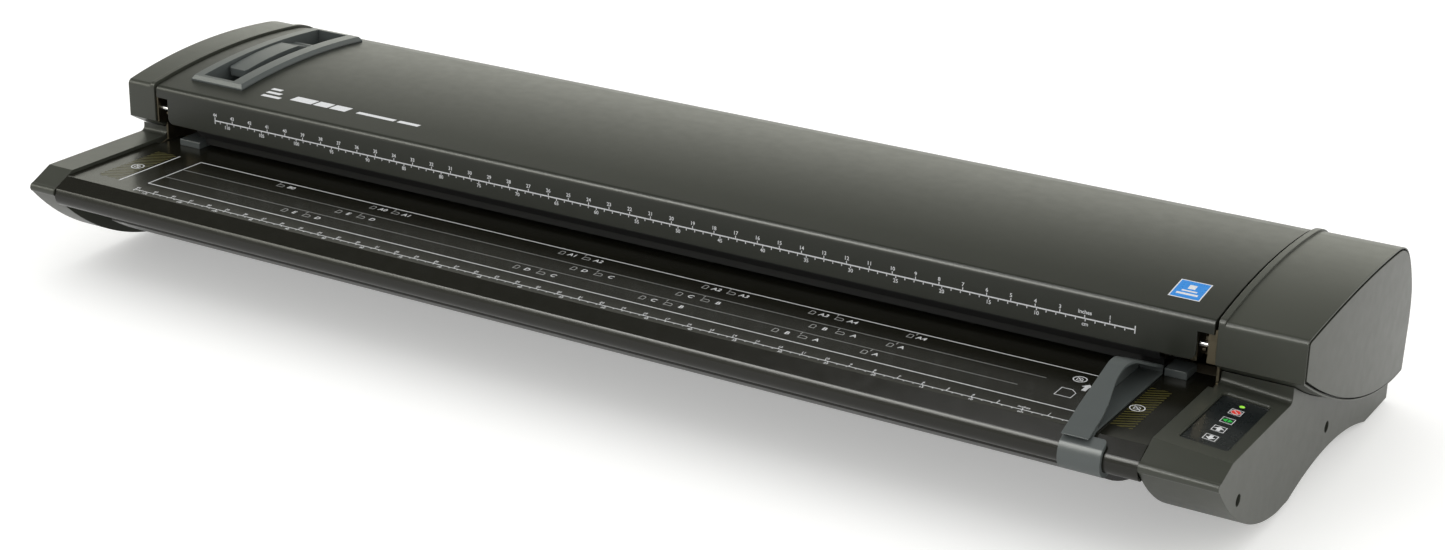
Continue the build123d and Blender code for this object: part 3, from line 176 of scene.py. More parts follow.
def moulded(
    name, colour, rough, grain=1400, grain_depth=0.05, edge=0.7, worn=1.5, stretch=(1, 1, 1), shine=0.5
):
    """Moulded plastic or painted metal: mottled colour, fine grain, rubbed edges, and painted shade in the seams.

    grain is in features a metre; grain_depth and edge are in millimetres; worn lightens the edges.
    """
    s = Shader(name)
    rounded = s.rounded_normal(edge * MM)
    broad = s.noise(9, 2)
    cloudy = s.noise(70, 4)
    base = s.mix(s.spread(broad, 0.0, 1.0), shade(colour, 0.96), shade(colour, 1.04))
    base = s.mix(s.spread(cloudy, 0.0, 0.2), base, shade(colour, 1.1))
    rubbed = s.multiply(s.edge_mask(rounded), s.spread(s.noise(160, 4), 0.0, 0.8, 0.42, 0.62))
    base = s.mix(rubbed, base, shade(colour, worn))
    # Painted shade: an occlusion mask darkens the colour in seams and gaps narrower than SEAM_REACH, and dims the
    # specular there too.
    painted_seam_shade = s.open_air(SEAM_REACH)
    base = s.mix(s.spread(painted_seam_shade, 0.85, 0.0, 0.3, 0.65), base, shade(colour, 0.1))
    grains = s.noise(grain, 2, stretch)
    s.set(
        Base_Color=base,
        Specular_IOR_Level=s.spread(painted_seam_shade, 0.05, shine, 0.3, 0.65),
        Roughness=s.spread(cloudy, rough - 0.02, rough + 0.02),
        IOR=PLASTIC_IOR,
        Normal=s.bump(grains, grain_depth * MM, 0.5, rounded),
    )
    s.material.diffuse_color = (*colour, 1.0)
    return s


def metal(name, colour, rough, stretch=(1, 40, 40), edge=0.3):
    """Bare metal with drawn lines, light tarnish and brighter edges."""
    s = Shader(name)
    rounded = s.rounded_normal(edge * MM)
    lines = s.noise(60, 3, stretch)
    clouds = s.noise(35, 3)
    base = s.mix(s.spread(clouds, 0.0, 1.0), shade(colour, 0.82), colour)
    base = s.mix(s.edge_mask(rounded), base, shade(colour, 1.2))
    s.set(
        Base_Color=base,
        Metallic=1.0,
        Roughness=s.spread(lines, rough - 0.07, rough + 0.1),
        Normal=s.bump(lines, 0.02 * MM, 0.35, rounded),
    )
    s.material.diffuse_color = (*colour, 1.0)
    return s


def spangle(name, colour, rough):
    """Zinc-plated sheet: broad crystal patches over a faint rolled grain."""
    s = Shader(name)
    cells = s.add("ShaderNodeTexVoronoi", feature="F1")
    cells.inputs["Scale"].default_value = 150
    s.link(s.coords, cells.inputs["Vector"])
    grey = s.add("ShaderNodeRGBToBW")
    s.link(cells.outputs["Color"], grey.inputs["Color"])
    tone = s.spread(grey.outputs["Val"], 0.2, 0.8, 0.2, 0.8)
    rounded = s.rounded_normal(0.3 * MM)
    s.set(
        Base_Color=s.mix(tone, shade(colour, 0.86), shade(colour, 1.1)),
        Metallic=1.0,
        Roughness=s.spread(grey.outputs["Val"], rough - 0.04, rough + 0.04),
        Normal=s.bump(s.noise(700, 2, (1, 8, 8)), 0.02 * MM, 0.3, rounded),
    )
    s.material.diffuse_color = (*colour, 1.0)
    return s


def film(name, colour, rough=0.16):
    """Printed polyester membrane: glossy, with a faint orange-peel surface."""
    s = Shader(name)
    dust = s.noise(900, 5)
    base = s.mix(s.spread(dust, 0.0, 0.15, 0.55, 0.8), colour, shade(colour, 1.6))
    s.set(
        Base_Color=base,
        Roughness=s.spread(s.noise(120, 3), rough - 0.03, rough + 0.05),
        Coat_Weight=0.3,
        Normal=s.bump(s.noise(450, 2), 0.008 * MM, 0.15, s.rounded_normal(0.3 * MM)),
    )
    s.material.diffuse_color = (*colour, 1.0)
    return s


def ink(name, colour, rough=0.45, glow=0.0):
    """Screen-printed ink: slightly uneven cover and a soft sheen."""
    s = Shader(name)
    cover = s.spread(s.noise(600, 4), 0.0, 1.0)
    base = s.mix(cover, shade(colour, 0.86), colour)
    s.set(Base_Color=base, Roughness=s.spread(s.noise(250, 2), rough - 0.05, rough + 0.05))
    s.set(Normal=s.bump(s.noise(1200, 2), 0.01 * MM, 0.3))
    # glow makes the ink emit light; on the red and green print this is painted light.
    if glow:
        s.set(Emission_Color=base, Emission_Strength=glow)
    s.material.diffuse_color = (*colour, 1.0)
    return s


def rubber(name, colour, rough=0.75, ground=0.0):
    """Rubber: matt, dusty in patches, with grinding lines round it where it was ground."""
    s = Shader(name)
    dusty = s.spread(s.noise(120, 5), 0.0, 0.5, 0.5, 0.75)
    base = s.mix(dusty, colour, shade(colour, 2.2))
    height = s.noise(1500, 2, (1, 1, 1)) if not ground else s.noise(ground, 2, (6, 1, 1))
    s.set(
        Base_Color=base,
        Roughness=s.spread(s.noise(60, 3), rough - 0.08, rough + 0.08),
        Normal=s.bump(height, 0.06 * MM, 0.5, s.rounded_normal(0.4 * MM)),
    )
    s.material.diffuse_color = (*colour, 1.0)
    return s


def glass(name):
    """Low-iron scan glass with a green tint and a faint film of dust."""
    s = Shader(name)
    smear = s.spread(s.noise(25, 4, (1, 3, 1)), 0.02, 0.06)
    dust = s.spread(s.noise(400, 4), 0.0, 0.1, 0.6, 0.8)
    s.set(
        Base_Color=s.mix(dust, (0.84, 0.93, 0.89), (0.95, 0.96, 0.96)),
        Roughness=smear,
        Transmission_Weight=0.92,
        IOR=1.5,
    )
    s.material.diffuse_color = (0.8, 0.9, 0.86, 0.4)
    return s


def board(name):
    """Printed circuit board: solder mask over darker and lighter copper areas."""
    s = Shader(name)
    tracks = s.add("ShaderNodeTexBrick")
    tracks.inputs["Scale"].default_value = 160
    tracks.inputs["Mortar Size"].default_value = 0.03
    tracks.inputs["Color1"].default_value = (0.010, 0.085, 0.035, 1)
    tracks.inputs["Color2"].default_value = (0.014, 0.110, 0.045, 1)
    tracks.inputs["Mortar"].default_value = (0.045, 0.20, 0.08, 1)
    s.link(s.coords, tracks.inputs["Vector"])
    s.set(
        Base_Color=s.mix(s.spread(s.noise(90, 3), 0.0, 0.4), tracks.outputs["Color"], (0.02, 0.14, 0.06)),
        Roughness=s.spread(s.noise(200, 3), 0.3, 0.45),
        Normal=s.bump(tracks.outputs["Fac"], 0.05 * MM, 0.4, s.rounded_normal(0.2 * MM)),
    )
    s.material.diffuse_color = (0.02, 0.14, 0.06, 1.0)
    return s


# ---------------------------------------------------------------- finishes of the CAD nodes
FINISHES = {
    "lid_paint": moulded(
        "lid_paint", (0.0225, 0.0245, 0.0185), 0.34, grain=2200, grain_depth=0.012, edge=0.8,
    ),
    "bed_paint": moulded(
        "bed_paint", (0.0095, 0.0092, 0.0060), 0.22, grain=2600, grain_depth=0.0015, worn=2.2,
    ),
    "pod_plastic": moulded(
        "pod_plastic", (0.047, 0.050, 0.040), 0.33, grain=1300, grain_depth=0.03, edge=1.0, shine=0.43,
    ),
    "trim_plastic": moulded(
        "trim_plastic", (0.086, 0.097, 0.096), 0.32, grain=1500, grain_depth=0.03, edge=0.8,
    ),
    "black_plastic": moulded("black_plastic", (0.012, 0.012, 0.012), 0.45, grain=1600, worn=2.5),
    "white_plastic": moulded("white_plastic", (0.78, 0.78, 0.75), 0.5, grain=1600, worn=0.8),
    "sensor_black": moulded("sensor_black", (0.02, 0.02, 0.022), 0.42, grain=1200),
    "motor_metal": moulded("motor_metal", (0.035, 0.036, 0.04), 0.4, stretch=(30, 1, 1), worn=6.0),
    "ribbon_plastic": moulded("ribbon_plastic", (0.45, 0.46, 0.47), 0.45, grain=800, stretch=(4, 0.2, 0.2)),
    "zinc_steel": spangle("zinc_steel", (0.135, 0.116, 0.082), 0.42),
    "shaft_steel": metal("shaft_steel", (0.62, 0.62, 0.63), 0.26),
    "bronze": metal("bronze", (0.60, 0.40, 0.17), 0.36, stretch=(30, 1, 1)),
    "pulley_metal": metal("pulley_metal", (0.70, 0.71, 0.72), 0.3, stretch=(40, 1, 1)),
    "supply_metal": metal("supply_metal", (0.60, 0.61, 0.62), 0.42),
    "rubber_black": rubber("rubber_black", (0.013, 0.013, 0.013)),
    "rubber_grey": rubber("rubber_grey", (0.055, 0.055, 0.058), 0.65, ground=300),
    "clear_glass": glass("clear_glass"),
    "panel_film": film("panel_film", (0.011, 0.014, 0.015), 0.28),
    "button_film": film("button_film", (0.012, 0.015, 0.016), 0.28),
    "light_plastic": ink("light_plastic", (0.30, 0.70, 0.06), 0.25, glow=0.6),
    "board_green": board("board_green"),
}
for node_name, node in NODES.items():
    node.data.materials.clear()
    node.data.materials.append(FINISHES[SLOT_OF[node_name]].material)

WHITE_INK = ink("white_ink", (0.78, 0.79, 0.81))
GREY_INK = ink("grey_ink", (0.20, 0.205, 0.20))
DIM_INK = ink("dim_ink", (0.42, 0.425, 0.42))
OLIVE_INK = ink("olive_ink", (0.082, 0.072, 0.008))
# The red and green print glow a little: painted light.
RED_INK = ink("red_ink", (0.80, 0.05, 0.035), 0.35, glow=0.15)
GREEN_INK = ink("green_ink", (0.03, 0.52, 0.07), 0.35, glow=0.1)
BLUE_INK = ink("blue_ink", (0.015, 0.27, 0.80), 0.3)


# ---------------------------------------------------------------- printed marks
INK_RISE = 0.12 * MM
INK_SUNK = 0.10 * MM
TEXT_BOLD = 0.012


class Surface:
    """A flat patch of the scanner with its own u and v axes, in metres."""

    def __init__(self, origin, u_axis, v_axis):
        self.origin = Vector(origin)
        self.u = Vector(u_axis).normalized()
        self.v = Vector(v_axis).normalized()
        self.n = self.u.cross(self.v)

    def at(self, u, v, height):
        return self.origin + self.u * u + self.v * v + self.n * height


class Draped:
    """A patch that follows a CAD node's top, found by looking straight down on it."""

    def __init__(self, node_name):
        self.node = NODES[node_name]
        self.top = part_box(node_name)[1].z + 0.1

    def at(self, u, v, height):
        hit, place, normal, _ = self.node.ray_cast(Vector((u, v, self.top)), Vector((0, 0, -1)))
        if not hit:
            raise ValueError(f"no surface under {u}, {v}")
        return place + normal * height


class Print:
    """Thin closed plates of one ink, gathered into one piece."""

    def __init__(self, name, ink_shader, surface):
        self.name = name
        self.shader = ink_shader
        self.surface = surface
        self.mesh = bmesh.new()

    def plate(self, ring):
        """A filled outline, given as points (u, v) in order."""
        at = self.surface.at
        top = [self.mesh.verts.new(at(u, v, INK_RISE)) for u, v in ring]
        low = [self.mesh.verts.new(at(u, v, -INK_SUNK)) for u, v in ring]
        count = len(ring)
        self.mesh.faces.new(top)
        self.mesh.faces.new(low[::-1])
        for i in range(count):
            j = (i + 1) % count
            self.mesh.faces.new((top[j], top[i], low[i], low[j]))

    def bar(self, u0, u1, v0, v1):
        self.plate([(u0, v0), (u1, v0), (u1, v1), (u0, v1)])

    def stroke(self, start, end, width):
        """A straight line of the given width between two points."""
        a, b = Vector(start), Vector(end)
        side = (b - a).normalized().orthogonal() * width / 2
        self.plate([tuple(a + side), tuple(a - side), tuple(b - side), tuple(b + side)])

    def loop(self, points, width):
        """A closed line of the given width, mitred at its corners, inside the points."""
        count = len(points)
        centre = sum((Vector(p) for p in points), Vector((0, 0))) / count
        outer = [Vector(p) for p in points]
        inner = []
        for i in range(count):
            before = (outer[i] - outer[i - 1]).normalized()
            after = (outer[(i + 1) % count] - outer[i]).normalized()
            normals = [Vector((-d.y, d.x)) for d in (before, after)]
            if normals[0].dot(centre - outer[i]) < 0:
                normals = [-n for n in normals]
            bisector = (normals[0] + normals[1]).normalized()
            inner.append(outer[i] + bisector * width / max(bisector.dot(normals[0]), 0.3))
        for i in range(count):
            j = (i + 1) % count
            ring = [outer[i], outer[j], inner[j], inner[i]]
            area = sum(ring[k].cross(ring[(k + 1) % 4]) for k in range(4))
            self.plate([tuple(p) for p in (ring if area > 0 else ring[::-1])])

    def circle(self, u, v, radius, width, squeeze=1.0, steps=28):
        points = [
            (u + radius * cos(2 * pi * k / steps), v + radius * squeeze * sin(2 * pi * k / steps))
            for k in range(steps)
        ]
        self.loop(points, width)

    def text(self, words, size, u, v, bold=TEXT_BOLD):
        """Words centred on (u, v); size is the height of a numeral."""
        curve = bpy.data.curves.new("letters", "FONT")
        curve.body = words
        curve.size = size / 0.7
        curve.align_x = "CENTER"
        curve.align_y = "CENTER"
        curve.offset = bold * size
        curve.extrude = (INK_RISE + INK_SUNK) / 2
        curve.resolution_u = 3
        holder = bpy.data.objects.new("letters", curve)
        bpy.context.scene.collection.objects.link(holder)
        bpy.context.view_layer.update()
        depsgraph = bpy.context.evaluated_depsgraph_get()
        letters = bpy.data.meshes.new_from_object(holder.evaluated_get(depsgraph))
        middle = (INK_RISE - INK_SUNK) / 2
        for vertex in letters.vertices:
            vertex.co = self.surface.at(u + vertex.co.x, v + vertex.co.y, middle + vertex.co.z)
        self.mesh.from_mesh(letters)
        bpy.data.objects.remove(holder)
        bpy.data.curves.remove(curve)
        bpy.data.meshes.remove(letters)

    def finish(self, body):
        bmesh.ops.remove_doubles(self.mesh, verts=self.mesh.verts, dist=0.002 * MM)
        bmesh.ops.recalc_face_normals(self.mesh, faces=self.mesh.faces)
        data = bpy.data.meshes.new(self.name)
        self.mesh.to_mesh(data)
        self.mesh.free()
        piece = bpy.data.objects.new(self.name, data)
        bpy.context.scene.collection.objects.link(piece)
        data.materials.append(self.shader.material)
        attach(piece, body)
        return piece


RULER_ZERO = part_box("paper_guide")[0].x
INCH = 25.4 * MM
INCHES = 44
CENTIMETRES = 111
lid_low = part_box("lid_shell")[0]
LID_FRONT = lid_low.y
BED_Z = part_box("bed_plate")[1].z


TICK = 0.9 * MM
END_TICK = 1.08 * MM
TEXT_GAP = 0.72  # from a tick's end to the middle of its numeral, in numeral heights


def ruler(name, surface, body, line_width, inch_tick, cm_tick, numeral, line_v, bold):
    """A ruler that counts leftwards: inches above its line, centimetres below it."""
    marks = Print(name, WHITE_INK, surface)
    end = -INCHES * INCH
    half = line_width / 2
    marks.bar(end, 0.0, line_v - half, line_v + half)
    reach = 1.15 * inch_tick
    for u in (end, 0.0):
        marks.bar(u - END_TICK / 2, u + END_TICK / 2, line_v - reach, line_v + reach)
    for inch in range(1, INCHES + 1):
        u = -inch * INCH
        if inch < INCHES:
            marks.bar(u - TICK / 2, u + TICK / 2, line_v, line_v + inch_tick)
        words = "inches" if inch == 2 else str(inch)
        marks.text(words, numeral, u, line_v + inch_tick + numeral * TEXT_GAP, bold)
    for cm in range(1, CENTIMETRES + 1):
        u = -cm * 10 * MM
        marks.bar(u - TICK / 2, u + TICK / 2, line_v - cm_tick, line_v)
        if cm % 5 == 0:
            words = "cm" if cm == 5 else str(cm)
            marks.text(words, numeral, u, line_v - cm_tick - numeral * TEXT_GAP, bold)
    return marks.finish(body)


lid_face = Surface((RULER_ZERO, LID_FRONT, lid_low.z), (1, 0, 0), (0, 0, 1))
LID_LINE = 161.7 * MM - lid_low.z
ruler(
    "lid_ruler", lid_face, "lid",
    line_width=1.3 * MM, inch_tick=3.4 * MM, cm_tick=2.9 * MM, numeral=3.9 * MM, line_v=LID_LINE, bold=0.02,
)

BED_RULER_Y = -222.5 * MM
bed_face = Surface((RULER_ZERO, BED_RULER_Y, BED_Z), (1, 0, 0), (0, 1, 0))
ruler(
    "bed_ruler", bed_face, "chassis",
    line_width=0.9 * MM, inch_tick=3.0 * MM, cm_tick=2.4 * MM, numeral=3.5 * MM, line_v=0.0, bold=0.0,
)

# The frame round the paper-size marks, its dimmer rows, and the line beside the left hatch.
FRAME_LOW = 23.0 * MM
FRAME_HIGH = 109.6 * MM
FRAME_LEFT = -1119.7 * MM
ROWS = (78.7 * MM, 49.7 * MM)
STROKE = 1.25 * MM
SIDE_LINE = -1154 * MM
SIDE_STROKE = 1.5 * MM
ROW_STROKE = 1.2 * MM
bed_frame = Print("bed_frame", WHITE_INK, bed_face)
bed_frame.bar(FRAME_LEFT, 0.0, FRAME_LOW - STROKE / 2, FRAME_LOW + STROKE / 2)
bed_frame.bar(FRAME_LEFT, 0.0, FRAME_HIGH - STROKE / 2, FRAME_HIGH + STROKE / 2)
bed_frame.bar(FRAME_LEFT - STROKE / 2, FRAME_LEFT + STROKE / 2, FRAME_LOW, FRAME_HIGH)
bed_frame.bar(SIDE_LINE, SIDE_LINE + SIDE_STROKE, 12.7 * MM, 111.8 * MM)
bed_frame.finish("chassis")

bed_rows = Print("bed_rows", GREY_INK, bed_face)
for row, stop in zip(ROWS, (-62 * MM, -78 * MM)):
    bed_rows.bar(FRAME_LEFT, stop, row - ROW_STROKE / 2, row + ROW_STROKE / 2)
bed_rows.finish("chassis")


ICON_LINE = 0.7 * MM


def page_icon(marks, u, v, width, height):
    """A page outline with a folded corner."""
    fold = min(width, height) * 0.35
    outline = [
        (u, v), (u + width, v), (u + width, v + height - fold),
        (u + width - fold, v + height), (u, v + height),
    ]
    marks.loop(outline, ICON_LINE)


LETTER = 6.6 * MM
ICON_TALL = (6.0 * MM, 8.5 * MM)
ICON_WIDE = (9.0 * MM, 6.5 * MM)
SIZE_TICK = 5.5 * MM  # length of a size mark's tick below its row
SIZE_TICK_HALF = 0.4 * MM
ICON_DROP = 14.5 * MM  # from a row down to the foot of its page icons


def size_mark(marks, icons, at_mm, row, tall_word, wide_word):
    """A tick on a row with a tall page's size on its left and a wide page's on its right."""
    u = -at_mm * MM
    icons.bar(u - SIZE_TICK_HALF, u + SIZE_TICK_HALF, row - SIZE_TICK, row)
    low = row - ICON_DROP
    middle = low + 4.2 * MM
    if tall_word:
        marks.text(tall_word, LETTER, u - 12 * MM, middle)
        page_icon(icons, u - 28 * MM, low, *ICON_TALL)
    if wide_word:
        page_icon(icons, u + 1 * MM, low + 0.5 * MM, *ICON_WIDE)
        marks.text(wide_word, LETTER, u + 20 * MM, middle)


# Each row's marks: the width in millimetres and the sizes on its left and right.
SIZE_ROWS = (
    (
        FRAME_HIGH,
        ((297, "A3", "A4"), (420, "A2", "A3"), (594, "A1", "A2"), (841, "A0", "A1"), (1000, "", "B0")),
    ),
    (ROWS[0], ((279.4, "B", "A"), (431.8, "C", "B"), (558.8, "D", "C"), (863.6, "E", "D"))),
    (ROWS[1], ((304.8, "B", "A"), (457.2, "C", "B"), (609.6, "D", "C"), (914.4, "E", "D"))),
)
bed_sizes = Print("bed_sizes", WHITE_INK, bed_face)
bed_icons = Print("bed_page_icons", DIM_INK, bed_face)
for row, row_marks in SIZE_ROWS:
    for at_mm, tall_word, wide_word in row_marks:
        size_mark(bed_sizes, bed_icons, at_mm, row, tall_word, wide_word)
for at_mm, row, word in ((210, FRAME_HIGH, "A4"), (215.9, ROWS[0], "A"), (228.6, ROWS[1], "A")):
    u = -at_mm * MM
    bed_icons.bar(u - SIZE_TICK_HALF, u + SIZE_TICK_HALF, row - SIZE_TICK, row)
    page_icon(bed_icons, u - 7 * MM, row - ICON_DROP, *ICON_TALL)
    bed_sizes.text(word, LETTER, u + 8 * MM, row - ICON_DROP + 4.2 * MM)
bed_sizes.finish("chassis")
bed_icons.finish("chassis")


def crossed_circle(marks, u, v, radius):
    """A ring with a page in it, struck through."""
    marks.circle(u, v, radius, 1.1 * MM)
    page_icon(marks, u - 3.2 * MM, v - 3.2 * MM, 6.4 * MM, 6.4 * MM)
    reach = radius * 0.66
    marks.stroke((u - reach, v + reach), (u + reach, v - reach), 0.9 * MM)


# The pictograms are printed over the hatches, so they stand one layer of ink higher.
over_hatch = Surface(bed_face.at(0, 0, INK_RISE), bed_face.u, bed_face.v)
bed_pictograms = Print("bed_pictograms", WHITE_INK, over_hatch)
for place_u, place_v, ring_radius in ((36.0, 60.9, 7.5), (-1168.7, 59.3, 7.5), (-34.0, 93.0, 7.0)):
    crossed_circle(bed_pictograms, place_u * MM, place_v * MM, ring_radius * MM)
page_icon(bed_pictograms, -41.0 * MM, 48.0 * MM, 17.0 * MM, 19.0 * MM)
FEED_ARROW = [(-2.2, 0), (2.2, 0), (2.2, 9), (5.4, 9), (0, 16), (-5.4, 9), (-2.2, 9)]
FEED_ARROW_U = -21.0
FEED_ARROW_V = 70.0
bed_pictograms.plate([((x + FEED_ARROW_U) * MM, (y + FEED_ARROW_V) * MM) for x, y in FEED_ARROW])
bed_pictograms.bar(-13 * MM, -6 * MM, 59 * MM, 61.5 * MM)
bed_pictograms.finish("chassis")


HATCH_PITCH = 6.2 * MM
HATCH_STRIPE = 2.4 * MM
HATCH_SLOPE = 0.55


def hatch(name, left, right, low, high):
    """Slanting stripes that fill a rectangle, cut off at its sides."""
    marks = Print(name, OLIVE_INK, bed_face)
    climb = (right - left) * HATCH_SLOPE
    v = low - climb
    while v < high:
        ring = [(left, v), (right, v + climb), (right, v + climb + HATCH_STRIPE), (left, v + HATCH_STRIPE)]
        clipped = clip_band(ring, low, high)
        if len(clipped) > 2:
            marks.plate(clipped)
        v += HATCH_PITCH
    return marks.finish("chassis")


def clip_band(ring, low, high):
    """A polygon cut off below low and above high in v."""
    for limit, keep_above in ((low, True), (high, False)):
        kept = []
        for i, here in enumerate(ring):
            there = ring[(i + 1) % len(ring)]
            inside = (here[1] >= limit) == keep_above
            inside_next = (there[1] >= limit) == keep_above
            if inside:
                kept.append(here)
            if inside != inside_next:
                t = (limit - here[1]) / (there[1] - here[1])
                kept.append((here[0] + (there[0] - here[0]) * t, limit))
        ring = kept
    return ring


HATCH_LOW = 15 * MM
HATCH_HIGH = 112 * MM
hatch("bed_hatch_right", 28.5 * MM, 50 * MM, HATCH_LOW, HATCH_HIGH)
hatch("bed_hatch_left", -1186 * MM, -1157 * MM, HATCH_LOW, HATCH_HIGH)

# A generic mark on the lid: a small pictogram and plain bars in place of any name.
crown = Draped("lid_shell")


def crown_bar(marks, u0, u1, v0, v1, slant=0.0):
    """A bar that follows the crown, split lengthways so that it bends with it."""
    steps = 4
    for k in range(steps):
        a, b = v0 + (v1 - v0) * k / steps, v0 + (v1 - v0) * (k + 1) / steps
        sa, sb = slant * k / steps, slant * (k + 1) / steps
        marks.plate([(u0 + sa, a), (u1 + sa, a), (u1 + sb, b), (u0 + sb, b)])


MARK_Y = LID_FRONT + 29 * MM
MARK_LEFT = RULER_ZERO - 1074 * MM
lid_mark = Print("lid_mark", WHITE_INK, crown)
for k in range(3):
    mark_right = MARK_LEFT + (26 - 6 * k) * MM
    low = MARK_Y + 9 * k * MM
    crown_bar(lid_mark, MARK_LEFT, mark_right, low, low + 4.5 * MM, 1.5 * MM)


def bar_row(left, widths, gap, low, high, slant):
    """Slanting bars side by side, in place of a word; the sizes are in millimetres from the mark."""
    for width in widths:
        crown_bar(lid_mark, left, left + width * MM, MARK_Y + low * MM, MARK_Y + high * MM, slant * MM)
        left += (width + gap) * MM


bar_row(RULER_ZERO - 1035 * MM, widths=(30, 20, 22), gap=3, low=4, high=15, slant=3.5)
bar_row(RULER_ZERO - 943 * MM, widths=(52, 28), gap=5, low=6, high=11, slant=1.8)
lid_mark.finish("lid")

# A plain label near the lid's right end.
LABEL_LEFT = RULER_ZERO + 18.6 * MM
LABEL_RIGHT = RULER_ZERO + 49.8 * MM
LABEL_FRONT = -61.0 * MM
LABEL_REAR = -26.0 * MM
BORDER = 1.2 * MM
# White blocks inside the blue: where each starts and ends behind the label's front, and its inset.
BLOCKS = ((7.0, 10.5, 5.0), (13.5, 16.0, 8.0), (19.0, 27.0, 12.0))
label = Print("lid_label", BLUE_INK, crown)
edge = LABEL_FRONT + BORDER
for start, end, inset in BLOCKS:
    front, rear = LABEL_FRONT + start * MM, LABEL_FRONT + end * MM
    crown_bar(label, LABEL_LEFT + BORDER, LABEL_RIGHT - BORDER, edge, front)
    crown_bar(label, LABEL_LEFT + BORDER, LABEL_LEFT + inset * MM, front, rear)
    crown_bar(label, LABEL_RIGHT - inset * MM, LABEL_RIGHT - BORDER, front, rear)
    edge = rear
crown_bar(label, LABEL_LEFT + BORDER, LABEL_RIGHT - BORDER, edge, LABEL_REAR - BORDER)
label.finish("lid")
label_edge = Print("lid_label_print", WHITE_INK, crown)
crown_bar(label_edge, LABEL_LEFT, LABEL_LEFT + BORDER, LABEL_FRONT, LABEL_REAR)
crown_bar(label_edge, LABEL_RIGHT - BORDER, LABEL_RIGHT, LABEL_FRONT, LABEL_REAR)
crown_bar(label_edge, LABEL_LEFT + BORDER, LABEL_RIGHT - BORDER, LABEL_FRONT, LABEL_FRONT + BORDER)
crown_bar(label_edge, LABEL_LEFT + BORDER, LABEL_RIGHT - BORDER, LABEL_REAR - BORDER, LABEL_REAR)
for start, end, inset in BLOCKS:
    crown_bar(
        label_edge, LABEL_LEFT + inset * MM, LABEL_RIGHT - inset * MM,
        LABEL_FRONT + start * MM, LABEL_FRONT + end * MM,
    )
label_edge.finish("lid")

# ---------------------------------------------------------------- key panel
press = Vector(JOINTS["stop_press"]["axis"]).normalized()
panel_up = -press
panel_u = Vector((panel_up.z, 0, -panel_up.x))
KEY_LINE = 0.65 * MM
KEY_HALF = 6.0 * MM
KEY_RING = 4.9 * MM
KEY_DISC = 5.0 * MM


def top_of(node_name):
    """The point on top of a small node, below its box's middle."""
    low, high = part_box(node_name)
    middle = (low + high) / 2
    above = Vector((middle.x, middle.y, high.z + 0.05))
    hit, place, _, _ = NODES[node_name].ray_cast(above, Vector((0, 0, -1)))
    return place if hit else Vector((middle.x, middle.y, high.z))


KEY_GLYPHS = {
    "forward": [(-1.7, -4.4), (1.7, -4.4), (1.7, -0.2), (4.8, -0.2), (0, 4.6), (-4.8, -0.2), (-1.7, -0.2)],
    "back": [(1.7, 4.4), (-1.7, 4.4), (-1.7, 0.2), (-4.8, 0.2), (0, -4.6), (4.8, 0.2), (1.7, 0.2)],
}
for key in ("stop", "copy", "forward", "back"):
    face = Surface(top_of(f"{key}_button"), panel_u, (0, 1, 0))
    frame_line = Print(f"{key}_outline", WHITE_INK, face)
    corners = [(-KEY_HALF, -KEY_HALF), (KEY_HALF, -KEY_HALF), (KEY_HALF, KEY_HALF), (-KEY_HALF, KEY_HALF)]
    frame_line.loop(corners, KEY_LINE)
    frame_line.finish(f"{key}_key")
    if key in KEY_GLYPHS:
        glyph = Print(f"{key}_glyph", WHITE_INK, face)
        glyph.plate([(x * MM, y * MM) for x, y in KEY_GLYPHS[key]])
    elif key == "stop":
        glyph = Print("stop_glyph", RED_INK, face)
        glyph.plate([(KEY_DISC * cos(radians(a)), KEY_DISC * sin(radians(a))) for a in range(0, 360, 15)])
        bar_face = Surface(face.at(0, 0, INK_RISE), face.u, face.v)
        slash = Print("stop_slash", WHITE_INK, bar_face)
        slash.stroke((-2.2 * MM, 2.2 * MM), (2.2 * MM, -2.2 * MM), 0.8 * MM)
        slash.circle(0, 0, KEY_RING, 0.5 * MM)
        slash.finish("stop_key")
    else:
        glyph = Print("copy_glyph", GREEN_INK, face)
        for side in (-1, 1):
            half = [(side * 0.6 * MM, -3.9 * MM), (side * 5.0 * MM, 0.0), (side * 0.6 * MM, 3.9 * MM)]
            glyph.plate(half if side > 0 else half[::-1])
    glyph.finish(f"{key}_key")

# ---------------------------------------------------------------- floor, light and camera
FLOOR = 40.0  # half the floor's width
FLOOR_DROP = 0.0005
FLOOR_GLOW = 0.22  # the floor's own light on the scanner
SEEN_GLOW = 0.45  # and as the camera sees it, which keeps the shadow light
SKY_STRENGTH = 0.94
floor_mesh = bpy.data.meshes.new("floor")
floor_corners = [(x * FLOOR, y * FLOOR, 0) for x, y in ((-1, -1), (1, -1), (1, 1), (-1, 1))]
floor_mesh.from_pydata(floor_corners, [], [(0, 1, 2, 3)])
floor = bpy.data.objects.new("floor", floor_mesh)
bpy.context.scene.collection.objects.link(floor)
floor.location.z = -FLOOR_DROP
paper = Shader("floor_paper")
paper_white = paper.mix(paper.noise(3, 2), (0.80, 0.80, 0.795), (0.82, 0.82, 0.815))
paper.set(Base_Color=paper_white, Roughness=0.9, IOR=1.2)
seen = paper.add("ShaderNodeLightPath").outputs["Is Camera Ray"]
glow = paper.spread(seen, FLOOR_GLOW, SEEN_GLOW, 0.0, 1.0)
paper.set(Emission_Color=paper_white, Emission_Strength=glow)
floor_mesh.materials.append(paper.material)
floor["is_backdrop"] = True

# The studio: white all round for the camera and for soft light. In reflections it is bright along
# the horizon, dimmer in front than behind, and dark overhead: this gives the covers their gradients.
SKY = ((0.0, 1.7), (0.16, 1.7), (0.34, 1.25), (0.5, 0.50), (0.66, 0.18), (1.0, 0.12))
SKY_TINT = (1.0, 1.01, 0.90)
FRONT_SKY = 0.5
world = bpy.data.worlds.new("studio")
bpy.context.scene.world = world
world.use_nodes = True
sky = world.node_tree
sky_height = sky.nodes.new("ShaderNodeSeparateXYZ")
